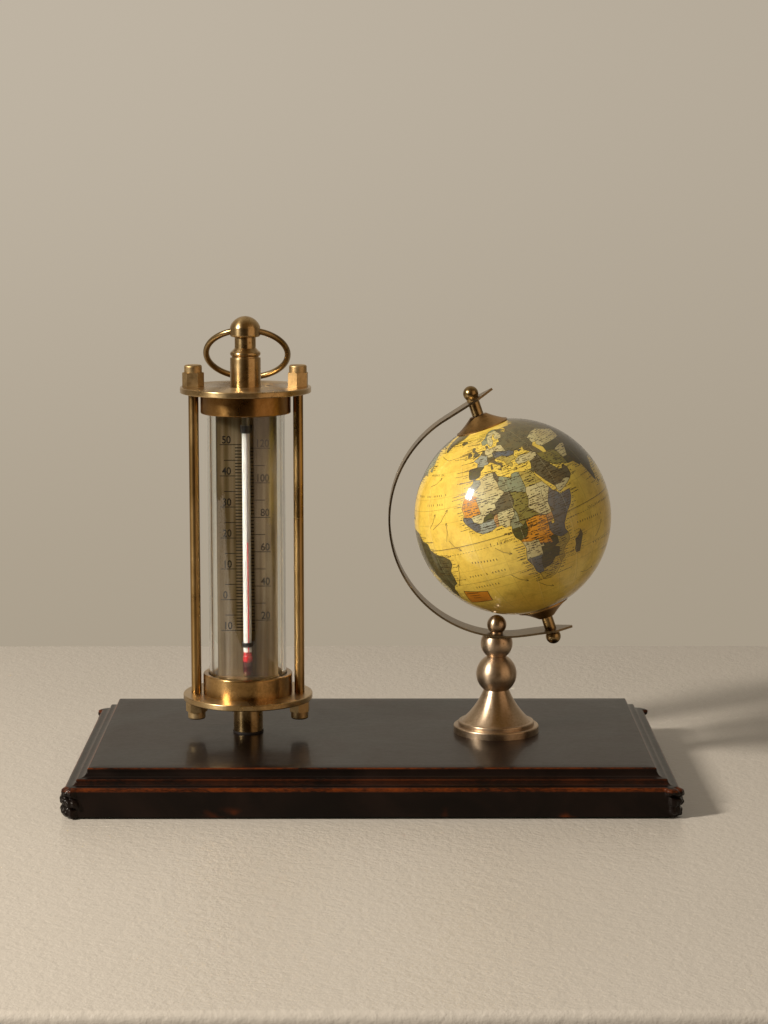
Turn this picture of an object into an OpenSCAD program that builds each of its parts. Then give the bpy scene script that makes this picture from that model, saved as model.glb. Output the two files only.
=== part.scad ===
// Desk stand with a glass-cased thermometer and a tilted globe on a leather-covered board.
// Millimetres. +Z is up, -Y is the front, and the origin is the middle of the felt underside.

/* [Base board] */
// Length of the flat top, left to right
base_top_l = 278; // [240:1:320]
// Width of the flat top, front to back
base_top_w = 154; // [130:1:180]
// Height of the leather top above the desk
base_h = 23; // [21:0.5:30]
// How far the moulding stands out past the flat top
mould_out = 10.5; // [9:0.25:14]
// Distance from the top face down to the ridge of the moulding
ridge_drop = 4.4; // [4.2:0.1:5]
// How far the ridge stands out past the flat top
ridge_out = 4.9; // [4.5:0.1:5.5]
// Distance from the top face down to the lower band
band_drop = 7.4; // [7.2:0.1:9]
// Radius of the upper cove
cove_upper_r = 3.4; // [2:0.1:3.5]
// Radius of the lower cove
cove_lower_r = 2.6; // [1.5:0.1:2.8]
// Rounding of the edge of the flat top
top_edge_r = 0.9; // [0.4:0.1:1]
// Rounding of the ridge
ridge_edge_r = 0.7; // [0.3:0.1:1]
// Rounding of the worn arris on the lower band
arris_r = 1.6; // [0.5:0.1:2]
// Rounding of the lower band's corners, seen from above
band_corner_r = 5; // [4:0.5:8]
// Thickness of the leather
leather_t = 1.2; // [0.8:0.1:1.6]
// Width of the leather turned in under the board
turn_in_w = 14; // [8:1:20]
// Thickness of the felt underneath
felt_t = 1; // [0.8:0.1:1.5]
// Distance from the lower band to the edge of the felt
felt_inset = 2.5; // [2:0.5:5]

/* [Corner pleats] */
// Number of leather folds stacked at each corner
pleat_count = 4; // [3:1:5]
// Radius of one fold
pleat_r = 1.9; // [1.5:0.1:2]
// How far the fullest fold stands out past the band
pleat_out = 1.9; // [1:0.1:2.2]
// How much less every second fold stands out
pleat_step = 0.6; // [0:0.1:1]
// Length of a fold along each side past the rounded corner
pleat_run = 2.4; // [1:0.2:4]

/* [Bolting to the board] */
// Radius of the studs that hold both instruments
stud_r = 2.5; // [2:0.1:2.6]
// Clearance round a stud or rod end in a drilled hole
stud_gap = 0.1; // [0.05:0.05:0.2]
// Radius of the pocket in the board for a nut and washer
pocket_r = 9; // [8:0.5:11]
// Depth of that pocket above the felt
pocket_depth = 8; // [7:0.5:10]
// Radius of the washer in the pocket
washer_r = 7; // [6:0.5:7.5]
// Thickness of the washer in the pocket
washer_t = 1.2; // [0.8:0.1:1.5]
// Width across the flats of the base nut
base_nut_af = 8; // [7.5:0.1:9]
// Height of the base nut
base_nut_h = 4; // [3:0.1:4.5]
// Length of stud that stands out of the base nut
stud_end = 0.8; // [0.2:0.1:1]
// Gap left past the end of a stud, rod or spindle in its hole
blind_gap = 0.5; // [0.3:0.1:0.8]

/* [Thermometer body] */
// Distance from the middle of the base to the thermometer's axis, leftwards
thermo_left = 64.2; // [55:0.1:80]
// Radius of the dark washer under the pedestal
foot_washer_r = 7.9; // [7:0.1:10]
// Thickness of that washer
foot_washer_t = 1; // [0.6:0.1:2]
// Radius of the pedestal spacer
spacer_r = 7.6; // [6:0.1:9]
// Height of the pedestal spacer
spacer_h = 16.8; // [14:0.1:25]
// Radius of the two round plates
plate_r = 33.3; // [32:0.1:38]
// Thickness of the two round plates
plate_t = 3; // [2:0.1:4]
// Clear distance between the two plates
plate_gap = 155.5; // [120:0.5:200]
// Rounding of the plates' edges
plate_edge_r = 0.5; // [0.2:0.1:0.9]
// Outer radius of the two collars
collar_r = 23; // [22.5:0.1:24]
// Height of the two collars
collar_h = 10.5; // [9:0.1:14]
// Outer radius of the glass tube
glass_r = 19.8; // [19:0.1:20.5]
// Wall of the glass tube
glass_t = 2; // [1.2:0.1:2]
// Clearance between the glass tube and its collars
glass_gap = 0.3; // [0.1:0.1:0.5]
// Thickness of the cork ring at each end of the glass
gasket_t = 1; // [0.5:0.1:1.5]

/* [Tie rods and cap nuts] */
// Distance from the thermometer's axis to each tie rod
rod_out = 26.6; // [26:0.1:27.5]
// Radius of a tie rod between the plates
rod_r = 2.6; // [2.3:0.1:2.8]
// Radius of a tie rod's threaded ends
rod_end_r = 2; // [1.5:0.1:2.1]
// Width across the flats of a cap nut
cap_nut_af = 9.6; // [9:0.1:10.5]
// Height of a cap nut's hexagon
cap_nut_hex_h = 7.2; // [6:0.1:8]
// Full height of a cap nut
cap_nut_h = 11; // [9.5:0.1:12]
// Radius of a cap nut's round end
cap_nut_end_r = 4.5; // [4:0.1:4.5]
// Rounding of a cap nut's round end
cap_nut_edge_r = 1; // [0.5:0.1:1.2]
// How far the hexagon's top chamfer spreads for each millimetre down
cap_nut_chamfer = 3; // [2:0.5:4]
// Depth of a cap nut's blind hole
cap_nut_hole = 8; // [6.5:0.5:8.5]
// Turn of the left and right cap nuts
cap_nut_turns = [0, 26]; // [0:1:60]

/* [Scale and thermometer glass] */
// Width of the brass scale plate
scale_w = 31.5; // [26:0.5:34]
// Thickness of the scale plate
scale_t = 1.5; // [1:0.1:1.8]
// How far the scale plate's face lies behind the axis
scale_back = 1.6; // [1.4:0.1:2.2]
// Radius of the two slotted discs that hold the scale plate
seat_r = 17.4; // [17:0.1:17.5]
// Height of the slotted discs
seat_h = 8; // [7:0.1:9]
// Depth of the slots
slot_depth = 4; // [2.5:0.1:4.5]
// Clearance of the scale plate in its slots
slot_gap = 0.1; // [0.05:0.05:0.3]
// Radius of the thermometer's glass stem
stem_r = 2.15; // [1.8:0.05:2.4]
// Radius of the stem's bore
stem_bore_r = 0.5; // [0.3:0.05:0.7]
// Radius of the spirit thread in the bore
thread_r = 0.45; // [0.25:0.05:0.5]
// Radius of the thermometer's bulb
bulb_r = 2.6; // [2.5:0.05:2.8]
// Wall of the bulb
bulb_t = 0.4; // [0.3:0.05:0.6]
// Length of the bulb
bulb_l = 12.4; // [9:0.1:15]
// Clearance between the bulb and the slotted disc below it
bulb_clear = 0.5; // [0.2:0.1:1]
// Distance from the lower plate up to the zero of the scale
zero_up = 48.2; // [45:0.1:60]
// Length of one degree Celsius on the scale
degree_l = 1.607; // [1.2:0.001:1.7]
// Temperature that the spirit thread stands at
reading = 18.9; // [0:0.1:50]
// Length of stem that is left hidden above the upper clip
stem_hidden = 8.4; // [4:0.1:9]
// Height of the upper clip
upper_clip_h = 3.9; // [2:0.1:5]
// Height of the lower clip
lower_clip_h = 2.3; // [1.5:0.1:4]
// Distance from the upper plate down to the middle of the upper clip
upper_clip_down = 18.7; // [16:0.1:20]
// Distance from the lower plate up to the middle of the lower clip
lower_clip_up = 25.3; // [23:0.1:28]
// Thickness of the clips' strip
clip_t = 0.5; // [0.3:0.05:0.8]
// Width of the clips' feet on the scale plate
clip_w = 6.2; // [5.8:0.1:8]

/* [Finial and carrying ring] */
// Radius of the finial boss and of the bead above it
boss_r = 7.75; // [7:0.05:8.5]
// Height of the finial boss
boss_h = 15.4; // [12:0.1:20]
// Rounding of the finial boss's top edge
boss_edge_r = 0.4; // [0.2:0.1:0.8]
// Depth of the groove between boss and head
groove_d = 0.9; // [0.4:0.1:1.5]
// Height of that groove
groove_h = 0.6; // [0.3:0.1:1]
// Height of the head's foot, its bead and the flare above it
bead_h = 4.2; // [3.6:0.1:5]
// Rounding of the bead, which is half its height
bead_edge_r = 1.3; // [1.2:0.05:1.45]
// Height of the flare between the bead and the neck
flare_h = 1.9; // [1.7:0.1:2.6]
// Radius of the flare where it leaves the bead
flare_r = 7.1; // [6.4:0.1:7.2]
// How far the finial's stud reaches into the head
finial_stud_in = 4.5; // [3:0.1:5]
// Radius of the neck
neck_r = 5.4; // [4.5:0.1:6]
// Height of the neck
neck_h = 5.6; // [5:0.1:8]
// Radius of the head
head_r = 7.75; // [7:0.05:8]
// Full height of the head
head_h = 10.5; // [9.5:0.1:13]
// Height of the head's straight side below the dome
head_side_h = 4.8; // [4:0.1:6]
// Rounding of the head's lower edge
head_edge_r = 1.2; // [0.6:0.1:1.8]
// Distance from the underside of the head up to the ring's hole
ring_hole_up = 3; // [2.9:0.1:3.6]
// Radius of the ring's hole
ring_hole_r = 2.55; // [2.5:0.05:2.6]
// Radius of the ring to the middle of its wire
ring_r = 20.9; // [20:0.1:22]
// Radius of the ring's wire
ring_wire_r = 1.55; // [1.3:0.05:1.55]
// Gap between the resting ring and the upper plate
ring_rest_gap = 0.3; // [0.2:0.05:0.5]
// Radius of the cross pin in the neck
neck_pin_r = 0.5; // [0.4:0.1:0.8]
// Distance from the underside of the head down to the cross pin
neck_pin_down = 2.7; // [1:0.1:3]
// Turn of the cross pin away from the front
neck_pin_turn = 28; // [0:1:90]

/* [Globe column] */
// Distance from the middle of the base to the column's axis, rightwards
column_right = 64.2; // [55:0.1:80]
// Radius of the foot's rim
foot_r = 22; // [20:0.1:26]
// Height of the foot's rim
foot_rim_h = 3.8; // [3:0.1:5]
// Rounding of the rim and of the raised ring on it
foot_edge_r = 0.8; // [0.4:0.1:1]
// Radius of the raised ring on the foot
foot_step_r = 19.6; // [18.5:0.1:19.8]
// Height of the raised ring on the foot
foot_step_h = 2.1; // [1.5:0.1:3]
// Radius of the flared cone where it leaves the raised ring
cone_foot_r = 17.9; // [16:0.1:18]
// Radius of the cone's neck under the large bead
cone_neck_r = 6.5; // [6:0.1:7]
// Height of the cone above the raised ring
cone_h = 16.3; // [14:0.1:24]
// Hollow of the cone's flank, as a share of its slanted length
cone_hollow = 0.06; // [0.02:0.01:0.1]
// Radius of the large bead
large_bead_r = 10.45; // [9.5:0.05:11.5]
// Height of the large bead between its flats
large_bead_h = 17.5; // [16.8:0.1:17.8]
// Radius of the small bead
small_bead_r = 8.25; // [8:0.05:9]
// Radius of the small bead's lower flat
small_bead_flat_r = 4.9; // [4.5:0.1:5.5]
// Height of the small bead up to the arc, on the axis
small_bead_h = 11.1; // [10.2:0.1:11.5]
// Radius of the ball nut on the column
ball_nut_r = 5; // [4.5:0.05:5.4]
// Distance from the arc up to the middle of the ball nut
ball_nut_up = 4.4; // [3.8:0.1:4.8]
// Radius of the ball nut's collar
ball_nut_collar_r = 3.3; // [3:0.1:3.8]

/* [Meridian arc] */
// Clear distance between the globe and the arc, if both had one centre
arc_gap = 9.7; // [9.2:0.1:13]
// Thickness of the arc's strip
arc_t = 1; // [0.8:0.1:1.6]
// Width of the arc's strip
arc_w = 16; // [12:0.5:20]
// Arc centre to the right of the column's axis
arc_right = 5.1; // [3:0.1:6]
// Angle from straight up to the top end of the round part
arc_top_a = 32.5; // [29:0.5:34]
// Angle from straight down to the bottom end of the round part
arc_bottom_a = 8; // [6:0.5:12]
// Length of the straight top end with its point
arc_top_l = 28.8; // [26:0.1:31]
// Length of the straight bottom end with its point
arc_bottom_l = 25.7; // [24:0.1:29]
// Length of the points
arc_point_l = 9; // [6:0.5:9]
// How far a straight end stands out past the round part on each face
arc_end_swell = 0.05; // [0.03:0.01:0.1]
// Length of the straight end's root inside the round part
arc_end_root = 0.3; // [0.2:0.1:0.6]
// Half width that is left at the tip of a point
arc_tip_half = 0.6; // [0.3:0.1:1.5]

/* [Globe] */
// Radius of the globe
globe_r = 50.3; // [48:0.1:50.8]
// Wall of the globe
globe_t = 1.6; // [1.2:0.1:3]
// Globe centre to the right of the arc's centre
globe_right = 2.6; // [1.6:0.1:3.2]
// Globe centre above the arc's centre
globe_up = 0.84; // [0.4:0.02:1.4]
// Tilt of the globe's axis
tilt = 19; // [15:0.5:23.5]
// Length of the lap where the two halves join
lap_l = 3; // [2:0.5:5]
// Wall of the lap
lap_t = 1.2; // [0.8:0.1:1.6]
// Clearance in the lap
lap_gap = 0.1; // [0.05:0.05:0.2]
// Radius of the spindle through the globe
spindle_r = 1.8; // [1.5:0.05:1.9]
// Running clearance of the polar caps on the spindle
run_gap = 0.06; // [0.03:0.01:0.09]
// Rim radius of a polar cap
cap_r = 13.4; // [12:0.1:14.4]
// Height of a polar cap above its rim
cap_h = 6.5; // [5.5:0.1:6.8]
// Radius of a polar cap's top
cap_top_r = 4.4; // [3.6:0.1:5]
// Thickness of a polar cap's rim
cap_rim_t = 0.7; // [0.5:0.1:1]
// How far a polar cap's rim stands out past its flank
cap_lip = 0.4; // [0.2:0.1:0.8]
// Hollow of a polar cap's flank, as a share of its slanted length
cap_hollow = 0.03; // [0.02:0.01:0.05]
// Radius of a polar cap's spigot in the globe
spigot_r = 3.2; // [2.6:0.1:3.6]
// Length of that spigot inside the globe
spigot_l = 2; // [1:0.1:4]
// Clearance round that spigot
spigot_gap = 0.1; // [0.05:0.05:0.2]
// Play between a polar cap and its sleeve
end_play = 0.3; // [0.1:0.05:0.4]
// Outer radius of a sleeve
sleeve_r = 2.95; // [2.5:0.05:3.4]
// Radius of a spindle nut's ball
spindle_nut_r = 3.9; // [3.5:0.05:4.4]
// Distance from the arc to the middle of a spindle nut's ball
spindle_nut_up = 3.3; // [2.9:0.1:3.7]
// Radius of a spindle nut's collar
spindle_collar_r = 3.1; // [2.8:0.1:3.4]
// Height of a spindle nut's collar
spindle_collar_h = 2.6; // [2.4:0.1:3.2]

/* [Hidden] */
$fn = 96;
// Facets of the large curves in a preview
fine = 360;
// A cutting solid reaches this far past the face that it cuts
over = 1;
// Depth of a cut that shows nowhere and only keeps two faces from ending in one line
hair = 0.002;
leather_c = "#2e2521";
brass_c = "#a5803f";
dull_brass_c = "#a0795a";
dark_brass_c = "#5a4028";
steel_c = "#8b8d90";
glass_c = [0.85, 0.92, 0.9, 0.3];

// Base, from the desk up
band_l = base_top_l + 2 * mould_out;
band_w = base_top_w + 2 * mould_out;
thermo_x = -thermo_left;
column_x = column_right;
pocket_top = felt_t + pocket_depth;
nut_top = pocket_top - washer_t;
stud_bottom = nut_top - base_nut_h - stud_end;
hole_r = stud_r + stud_gap;

// Thermometer, from the leather up
spacer_z = base_h + foot_washer_t;
lower_plate_z = spacer_z + spacer_h;
lower_plate_top = lower_plate_z + plate_t;
upper_plate_z = lower_plate_top + plate_gap;
upper_plate_top = upper_plate_z + plate_t;
collar_bore = glass_r + glass_gap;
glass_z = lower_plate_top + gasket_t;
glass_l = plate_gap - 2 * gasket_t;
lower_seat_top = lower_plate_top + seat_h;
upper_seat_z = upper_plate_z - seat_h;
scale_z = lower_seat_top - slot_depth;
scale_h = upper_seat_z + slot_depth - scale_z;
stem_y = scale_back - bulb_r - slot_gap;
bulb_z = lower_seat_top + bulb_clear;
bulb_top = bulb_z + bulb_l;
upper_clip_z = upper_plate_z - upper_clip_down - upper_clip_h / 2;
lower_clip_z = lower_plate_top + lower_clip_up - lower_clip_h / 2;
stem_top = upper_clip_z + upper_clip_h + stem_hidden;
thread_top = lower_plate_top + zero_up + reading * degree_l;
pedestal_stud_top = scale_z - blind_gap;
finial_stud_z = upper_seat_z + slot_depth + blind_gap;

// Finial and ring
head_foot_z = upper_plate_top + boss_h;
neck_z = head_foot_z + bead_h;
head_z = neck_z + neck_h;
ring_z = head_z + ring_hole_up;
finial_stud_top = head_foot_z + finial_stud_in;
neck_pin_z = head_z - neck_pin_down;
// The wire bows out of the straight hole by this much, half each way from the swing axis
ring_bow = ring_r - sqrt(ring_r * ring_r - head_r * head_r);
ring_reach = 2 * ring_r - ring_bow / 2;
ring_lean = acos((ring_z - upper_plate_top - ring_rest_gap - ring_wire_r) / ring_reach);

// Column, from the leather up
foot_step_z = base_h + foot_rim_h;
cone_z = foot_step_z + foot_step_h;
large_bead_z = cone_z + cone_h;
small_bead_z = large_bead_z + large_bead_h;
arc_seat_z = small_bead_z + small_bead_h;

// Arc and globe centres
arc_r = globe_r + arc_gap + arc_t;
arc_x = column_x + arc_right;
arc_z = arc_seat_z + sqrt(arc_r * arc_r - arc_right * arc_right);
globe_x = arc_x + globe_right;
globe_z = arc_z + globe_up;
cap_rim_z = sqrt(globe_r * globe_r - cap_r * cap_r);
cap_top_z = cap_rim_z + cap_h;

// Distances of a straight end's outer and inner face from the arc's centre
arc_face_r = arc_r + arc_end_swell;
arc_back_r = arc_r - arc_t - arc_end_swell;

// Where the globe's axis meets the outer face of a straight end of the arc.
// side is 1 for the top end and -1 for the bottom end, and a is that end's angle.
function axis_reach(side, a) =
    (arc_face_r + side * (globe_right * sin(a) - globe_up * cos(a))) / cos(a - tilt);
top_reach = axis_reach(1, arc_top_a);
bottom_reach = axis_reach(-1, arc_bottom_a);

module at_thermo(z = 0) {
    translate([thermo_x, 0, z]) children();
}

module at_column(z = 0) {
    translate([column_x, 0, z]) children();
}

// The frame of the arc: its centre, with the strip's width along Y
module at_arc() {
    translate([arc_x, 0, arc_z]) children();
}

// The frame of the globe: its centre, with +Z along the tilted axis
module at_globe() {
    translate([globe_x, 0, globe_z]) rotate([0, -tilt, 0]) children();
}

module tube(outer, inner, h) {
    difference() {
        cylinder(r = outer, h = h);
        translate([0, 0, -over]) cylinder(r = inner, h = h + 2 * over);
    }
}

// A square from the axis out to r and up to z, with a rounded outer top corner
module rounded_step(r, z, edge) {
    square([r - edge, z]);
    square([r, z - edge]);
    translate([r - edge, z - edge]) circle(r = edge);
}

// The hollow fillet that joins a step at (r, z) to the wall above it
module cove(r, z, radius) {
    difference() {
        translate([r - over, z - over]) square(radius + over);
        translate([r + radius, z + radius]) circle(r = radius);
    }
}

// Half of the board's section: half is half of the flat top, top is its height
module moulding_half(half, top) {
    rounded_step(half, top, top_edge_r);
    rounded_step(half + ridge_out, top - ridge_drop, ridge_edge_r);
    rounded_step(half + mould_out, top - band_drop, arris_r);
    cove(half, top - ridge_drop, cove_upper_r);
    cove(half + ridge_out, top - band_drop, cove_lower_r);
}

// The moulding along one direction, as long as the board and a little more
module moulding_run(half, top, l) {
    rotate([90, 0, 0]) linear_extrude(l, center = true) {
        moulding_half(half, top);
        mirror([1, 0]) moulding_half(half, top);
    }
}

module rounded_plate(l, w, corner, h) {
    linear_extrude(h) {
        square([l - 2 * corner, w], center = true);
        square([l, w - 2 * corner], center = true);
        for (x = [-1, 1], y = [-1, 1])
            translate([x * (l / 2 - corner), y * (w / 2 - corner)]) circle(r = corner);
    }
}

// The moulded slab, its mouldings mitred where they meet.
// inset is how far its faces lie inside the leather, and bottom is its underside.
module moulded_slab(inset, bottom) {
    half_l = base_top_l / 2 - inset;
    half_w = base_top_w / 2 - inset;
    top = base_h - inset;
    intersection() {
        moulding_run(half_l, top, band_w + 2 * over);
        rotate([0, 0, 90]) moulding_run(half_w, top, band_l + 2 * over);
        translate([0, 0, bottom])
            rounded_plate(band_l - 2 * inset, band_w - 2 * inset, band_corner_r - inset, base_h);
    }
}

// The gathered folds round one corner of the lower band, at the middle of its rounding
module corner_pleats() {
    room = base_h - band_drop - felt_t - 2 * pleat_r;
    for (i = [0 : pleat_count - 1]) {
        out = pleat_out - pleat_r - (i % 2) * pleat_step;
        reach = band_corner_r + out;
        translate([0, 0, felt_t + pleat_r + room * i / (pleat_count - 1)]) {
            rotate_extrude(angle = 90) translate([reach, 0]) circle(r = pleat_r);
            translate([reach, 0, 0]) rotate([90, 0, 0]) cylinder(r = pleat_r, h = pleat_run);
            translate([reach, -pleat_run, 0]) sphere(r = pleat_r);
            translate([0, reach, 0]) rotate([0, -90, 0]) cylinder(r = pleat_r, h = pleat_run);
            translate([-pleat_run, reach, 0]) sphere(r = pleat_r);
        }
    }
}

module both_bolt_holes(r, z, h) {
    for (x = [thermo_x, column_x]) translate([x, 0, z]) cylinder(r = r, h = h);
}

module window(h) {
    rounded_plate(band_l - 2 * turn_in_w, band_w - 2 * turn_in_w, band_corner_r, h);
}

module base_board() {
    color("#6b4a2e") difference() {
        union() {
            moulded_slab(leather_t, felt_t + leather_t);
            translate([0, 0, felt_t]) window(leather_t + over);
        }
        both_bolt_holes(hole_r, 0, base_h);
        both_bolt_holes(pocket_r, 0, pocket_top);
    }
}

module leather_cover() {
    color(leather_c) difference() {
        union() {
            moulded_slab(0, felt_t);
            for (x = [0, 1], y = [0, 1]) mirror([x, 0, 0]) mirror([0, y, 0])
                translate([band_l / 2 - band_corner_r, band_w / 2 - band_corner_r, 0])
                    corner_pleats();
        }
        moulded_slab(leather_t, felt_t + leather_t);
        translate([0, 0, felt_t - over]) window(leather_t + 2 * over);
        both_bolt_holes(hole_r, 0, base_h + over);
    }
}

module felt_base() {
    color("#1f3d2c")
        rounded_plate(band_l - 2 * felt_inset, band_w - 2 * felt_inset, band_corner_r, felt_t);
}

// A hexagonal prism by its width across the flats
module hexagon(af, h) {
    cylinder(r = af / 2 / cos(30), h = h, $fn = 6);
}

module base_nuts() {
    color(steel_c) for (x = [thermo_x, column_x])
        translate([x, 0, nut_top - base_nut_h]) difference() {
            hexagon(base_nut_af, base_nut_h);
            translate([0, 0, -over]) cylinder(r = hole_r, h = base_nut_h + 2 * over);
        }
}

module base_washers() {
    color(steel_c) for (x = [thermo_x, column_x])
        translate([x, 0, nut_top]) tube(washer_r, hole_r, washer_t);
}

module pedestal_stud() {
    color(steel_c) at_thermo(stud_bottom)
        cylinder(r = stud_r, h = pedestal_stud_top - stud_bottom);
}

module pedestal_washer() {
    color("#1a1512") at_thermo(base_h) tube(foot_washer_r, hole_r, foot_washer_t);
}

module pedestal_spacer() {
    color(brass_c) at_thermo(spacer_z) tube(spacer_r, hole_r, spacer_h);
}

// A round plate with softened edges, a middle hole and a hole for each tie rod
module round_plate() {
    difference() {
        rotate_extrude() {
            square([plate_r - plate_edge_r, plate_t]);
            translate([0, plate_edge_r]) square([plate_r, plate_t - 2 * plate_edge_r]);
            for (z = [plate_edge_r, plate_t - plate_edge_r])
                translate([plate_r - plate_edge_r, z]) circle(r = plate_edge_r);
        }
        translate([0, 0, -over]) cylinder(r = hole_r, h = plate_t + 2 * over);
        for (side = [-1, 1]) translate([side * rod_out, 0, -over])
            cylinder(r = rod_end_r + stud_gap, h = plate_t + 2 * over);
    }
}

module lower_plate() {
    color(brass_c) at_thermo(lower_plate_z) round_plate();
}

module upper_plate() {
    color(brass_c) at_thermo(upper_plate_z) round_plate();
}

// A collar with a rounded inner and outer lip at its top
module collar() {
    wall = collar_r - collar_bore;
    lip = wall / 4;
    rotate_extrude() {
        translate([collar_bore, 0]) square([wall, collar_h - lip]);
        translate([collar_bore + lip, 0]) square([wall - 2 * lip, collar_h]);
        for (r = [collar_bore + lip, collar_r - lip])
            translate([r, collar_h - lip]) circle(r = lip);
    }
}

module lower_collar() {
    color(brass_c) at_thermo(lower_plate_top) collar();
}

module upper_collar() {
    color(dark_brass_c) at_thermo(upper_plate_z) mirror([0, 0, 1]) collar();
}

module gasket() {
    tube(glass_r, glass_r - glass_t, gasket_t);
}

module lower_gasket() {
    color("#8a6a48") at_thermo(lower_plate_top) gasket();
}

module upper_gasket() {
    color("#8a6a48") at_thermo(upper_plate_z - gasket_t) gasket();
}

// A disc with a slot for the scale plate in its top and a blind hole for a stud below
module slotted_seat(stud_depth) {
    difference() {
        cylinder(r = seat_r, h = seat_h);
        translate([-scale_w / 2 - slot_gap, scale_back - slot_gap, seat_h - slot_depth])
            cube([scale_w + 2 * slot_gap, scale_t + 2 * slot_gap, slot_depth + over]);
        translate([0, 0, -over]) cylinder(r = hole_r, h = stud_depth + over);
    }
}

module lower_seat() {
    color(brass_c) at_thermo(lower_plate_top) slotted_seat(scale_z - lower_plate_top);
}

module upper_seat() {
    color(brass_c) at_thermo(upper_plate_z) mirror([0, 0, 1])
        slotted_seat(upper_plate_z - upper_seat_z - slot_depth);
}

module glass_tube() {
    color(glass_c) at_thermo(glass_z) tube(glass_r, glass_r - glass_t, glass_l);
}

module scale_plate() {
    color("#8a6c3a") at_thermo(scale_z) translate([-scale_w / 2, scale_back, 0])
        cube([scale_w, scale_t, scale_h]);
}

// A rod with round ends, used for the bulb and for what fills it
module capsule(r, h) {
    translate([0, 0, r]) {
        cylinder(r = r, h = h - 2 * r);
        sphere(r = r);
    }
    translate([0, 0, h - r]) sphere(r = r);
}

module stem_glass() {
    color([0.95, 0.95, 0.9, 0.5]) at_thermo(bulb_z) translate([0, stem_y, 0]) difference() {
        union() {
            capsule(bulb_r, bulb_l);
            translate([0, 0, bulb_l - bulb_r]) cylinder(r = stem_r, h = stem_top - bulb_top + bulb_r);
        }
        translate([0, 0, bulb_t]) capsule(bulb_r - bulb_t, bulb_l - 2 * bulb_t);
        translate([0, 0, bulb_r]) cylinder(r = stem_bore_r, h = stem_top - bulb_z - 2 * bulb_r);
    }
}

module spirit_fill() {
    film = stem_bore_r - thread_r;
    color("#b0182c") at_thermo(bulb_z) translate([0, stem_y, 0]) {
        translate([0, 0, bulb_t + film])
            capsule(bulb_r - bulb_t - film, bulb_l - 2 * bulb_t - 2 * film);
        translate([0, 0, bulb_r]) cylinder(r = thread_r, h = thread_top - bulb_z - bulb_r);
    }
}

// A strip that goes round the stem and lies flat on the scale plate with both feet
module stem_clip(h) {
    inner = stem_r + slot_gap / 2;
    back = scale_back - stem_y;
    difference() {
        union() {
            cylinder(r = inner + clip_t, h = h);
            translate([-inner - clip_t, 0, 0]) cube([2 * (inner + clip_t), back, h]);
            translate([-clip_w / 2, back - clip_t, 0]) cube([clip_w, clip_t, h]);
        }
        translate([0, 0, -over]) {
            cylinder(r = inner, h = h + 2 * over);
            translate([-inner, 0, 0]) cube([2 * inner, back + over, h + 2 * over]);
        }
    }
}

module upper_clip() {
    color("#1c1815") at_thermo(upper_clip_z) translate([0, stem_y, 0]) stem_clip(upper_clip_h);
}

module lower_clip() {
    color("#1c1815") at_thermo(lower_clip_z) translate([0, stem_y, 0]) stem_clip(lower_clip_h);
}

module tie_rods() {
    end_l = plate_t + cap_nut_hole - blind_gap;
    color(brass_c) for (side = [-1, 1]) at_thermo() translate([side * rod_out, 0, 0]) {
        translate([0, 0, lower_plate_top]) cylinder(r = rod_r, h = plate_gap);
        translate([0, 0, lower_plate_top - end_l]) cylinder(r = rod_end_r, h = plate_gap + 2 * end_l);
    }
}

// A tall cap nut standing on its open face
module cap_nut(turn) {
    difference() {
        union() {
            intersection() {
                rotate([0, 0, turn]) hexagon(cap_nut_af, cap_nut_hex_h);
                cylinder(r1 = cap_nut_af / 2 + cap_nut_chamfer * cap_nut_hex_h,
                    r2 = cap_nut_af / 2, h = cap_nut_hex_h);
            }
            rotate_extrude() rounded_step(cap_nut_end_r, cap_nut_h, cap_nut_edge_r);
        }
        translate([0, 0, -over]) cylinder(r = rod_end_r + stud_gap, h = cap_nut_hole + over);
    }
}

module both_cap_nuts() {
    for (i = [0, 1]) translate([(2 * i - 1) * rod_out, 0, 0]) cap_nut(cap_nut_turns[i]);
}

module upper_cap_nuts() {
    color(brass_c) at_thermo(upper_plate_top) both_cap_nuts();
}

module lower_cap_nuts() {
    color(brass_c) at_thermo(lower_plate_z) mirror([0, 0, 1]) both_cap_nuts();
}

// A square from the axis out to r and up to z, with a rounded outer bottom corner. An
// edge of half the height rounds the whole side.
module round_edge(r, z, edge) {
    square([r - edge, z]);
    translate([0, edge]) square([z > 2 * edge ? r : r - edge, z - edge]);
    translate([r - edge, edge]) circle(r = edge);
}

module finial_stud() {
    color(steel_c) at_thermo(finial_stud_z)
        cylinder(r = stud_r, h = finial_stud_top - finial_stud_z);
}

module finial_boss() {
    color(brass_c) at_thermo(upper_plate_top) difference() {
        union() {
            rotate_extrude() rounded_step(boss_r, boss_h - groove_h, boss_edge_r);
            cylinder(r = boss_r - groove_d, h = boss_h);
        }
        translate([0, 0, -over]) cylinder(r = hole_r, h = boss_h + 2 * over);
    }
}

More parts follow.
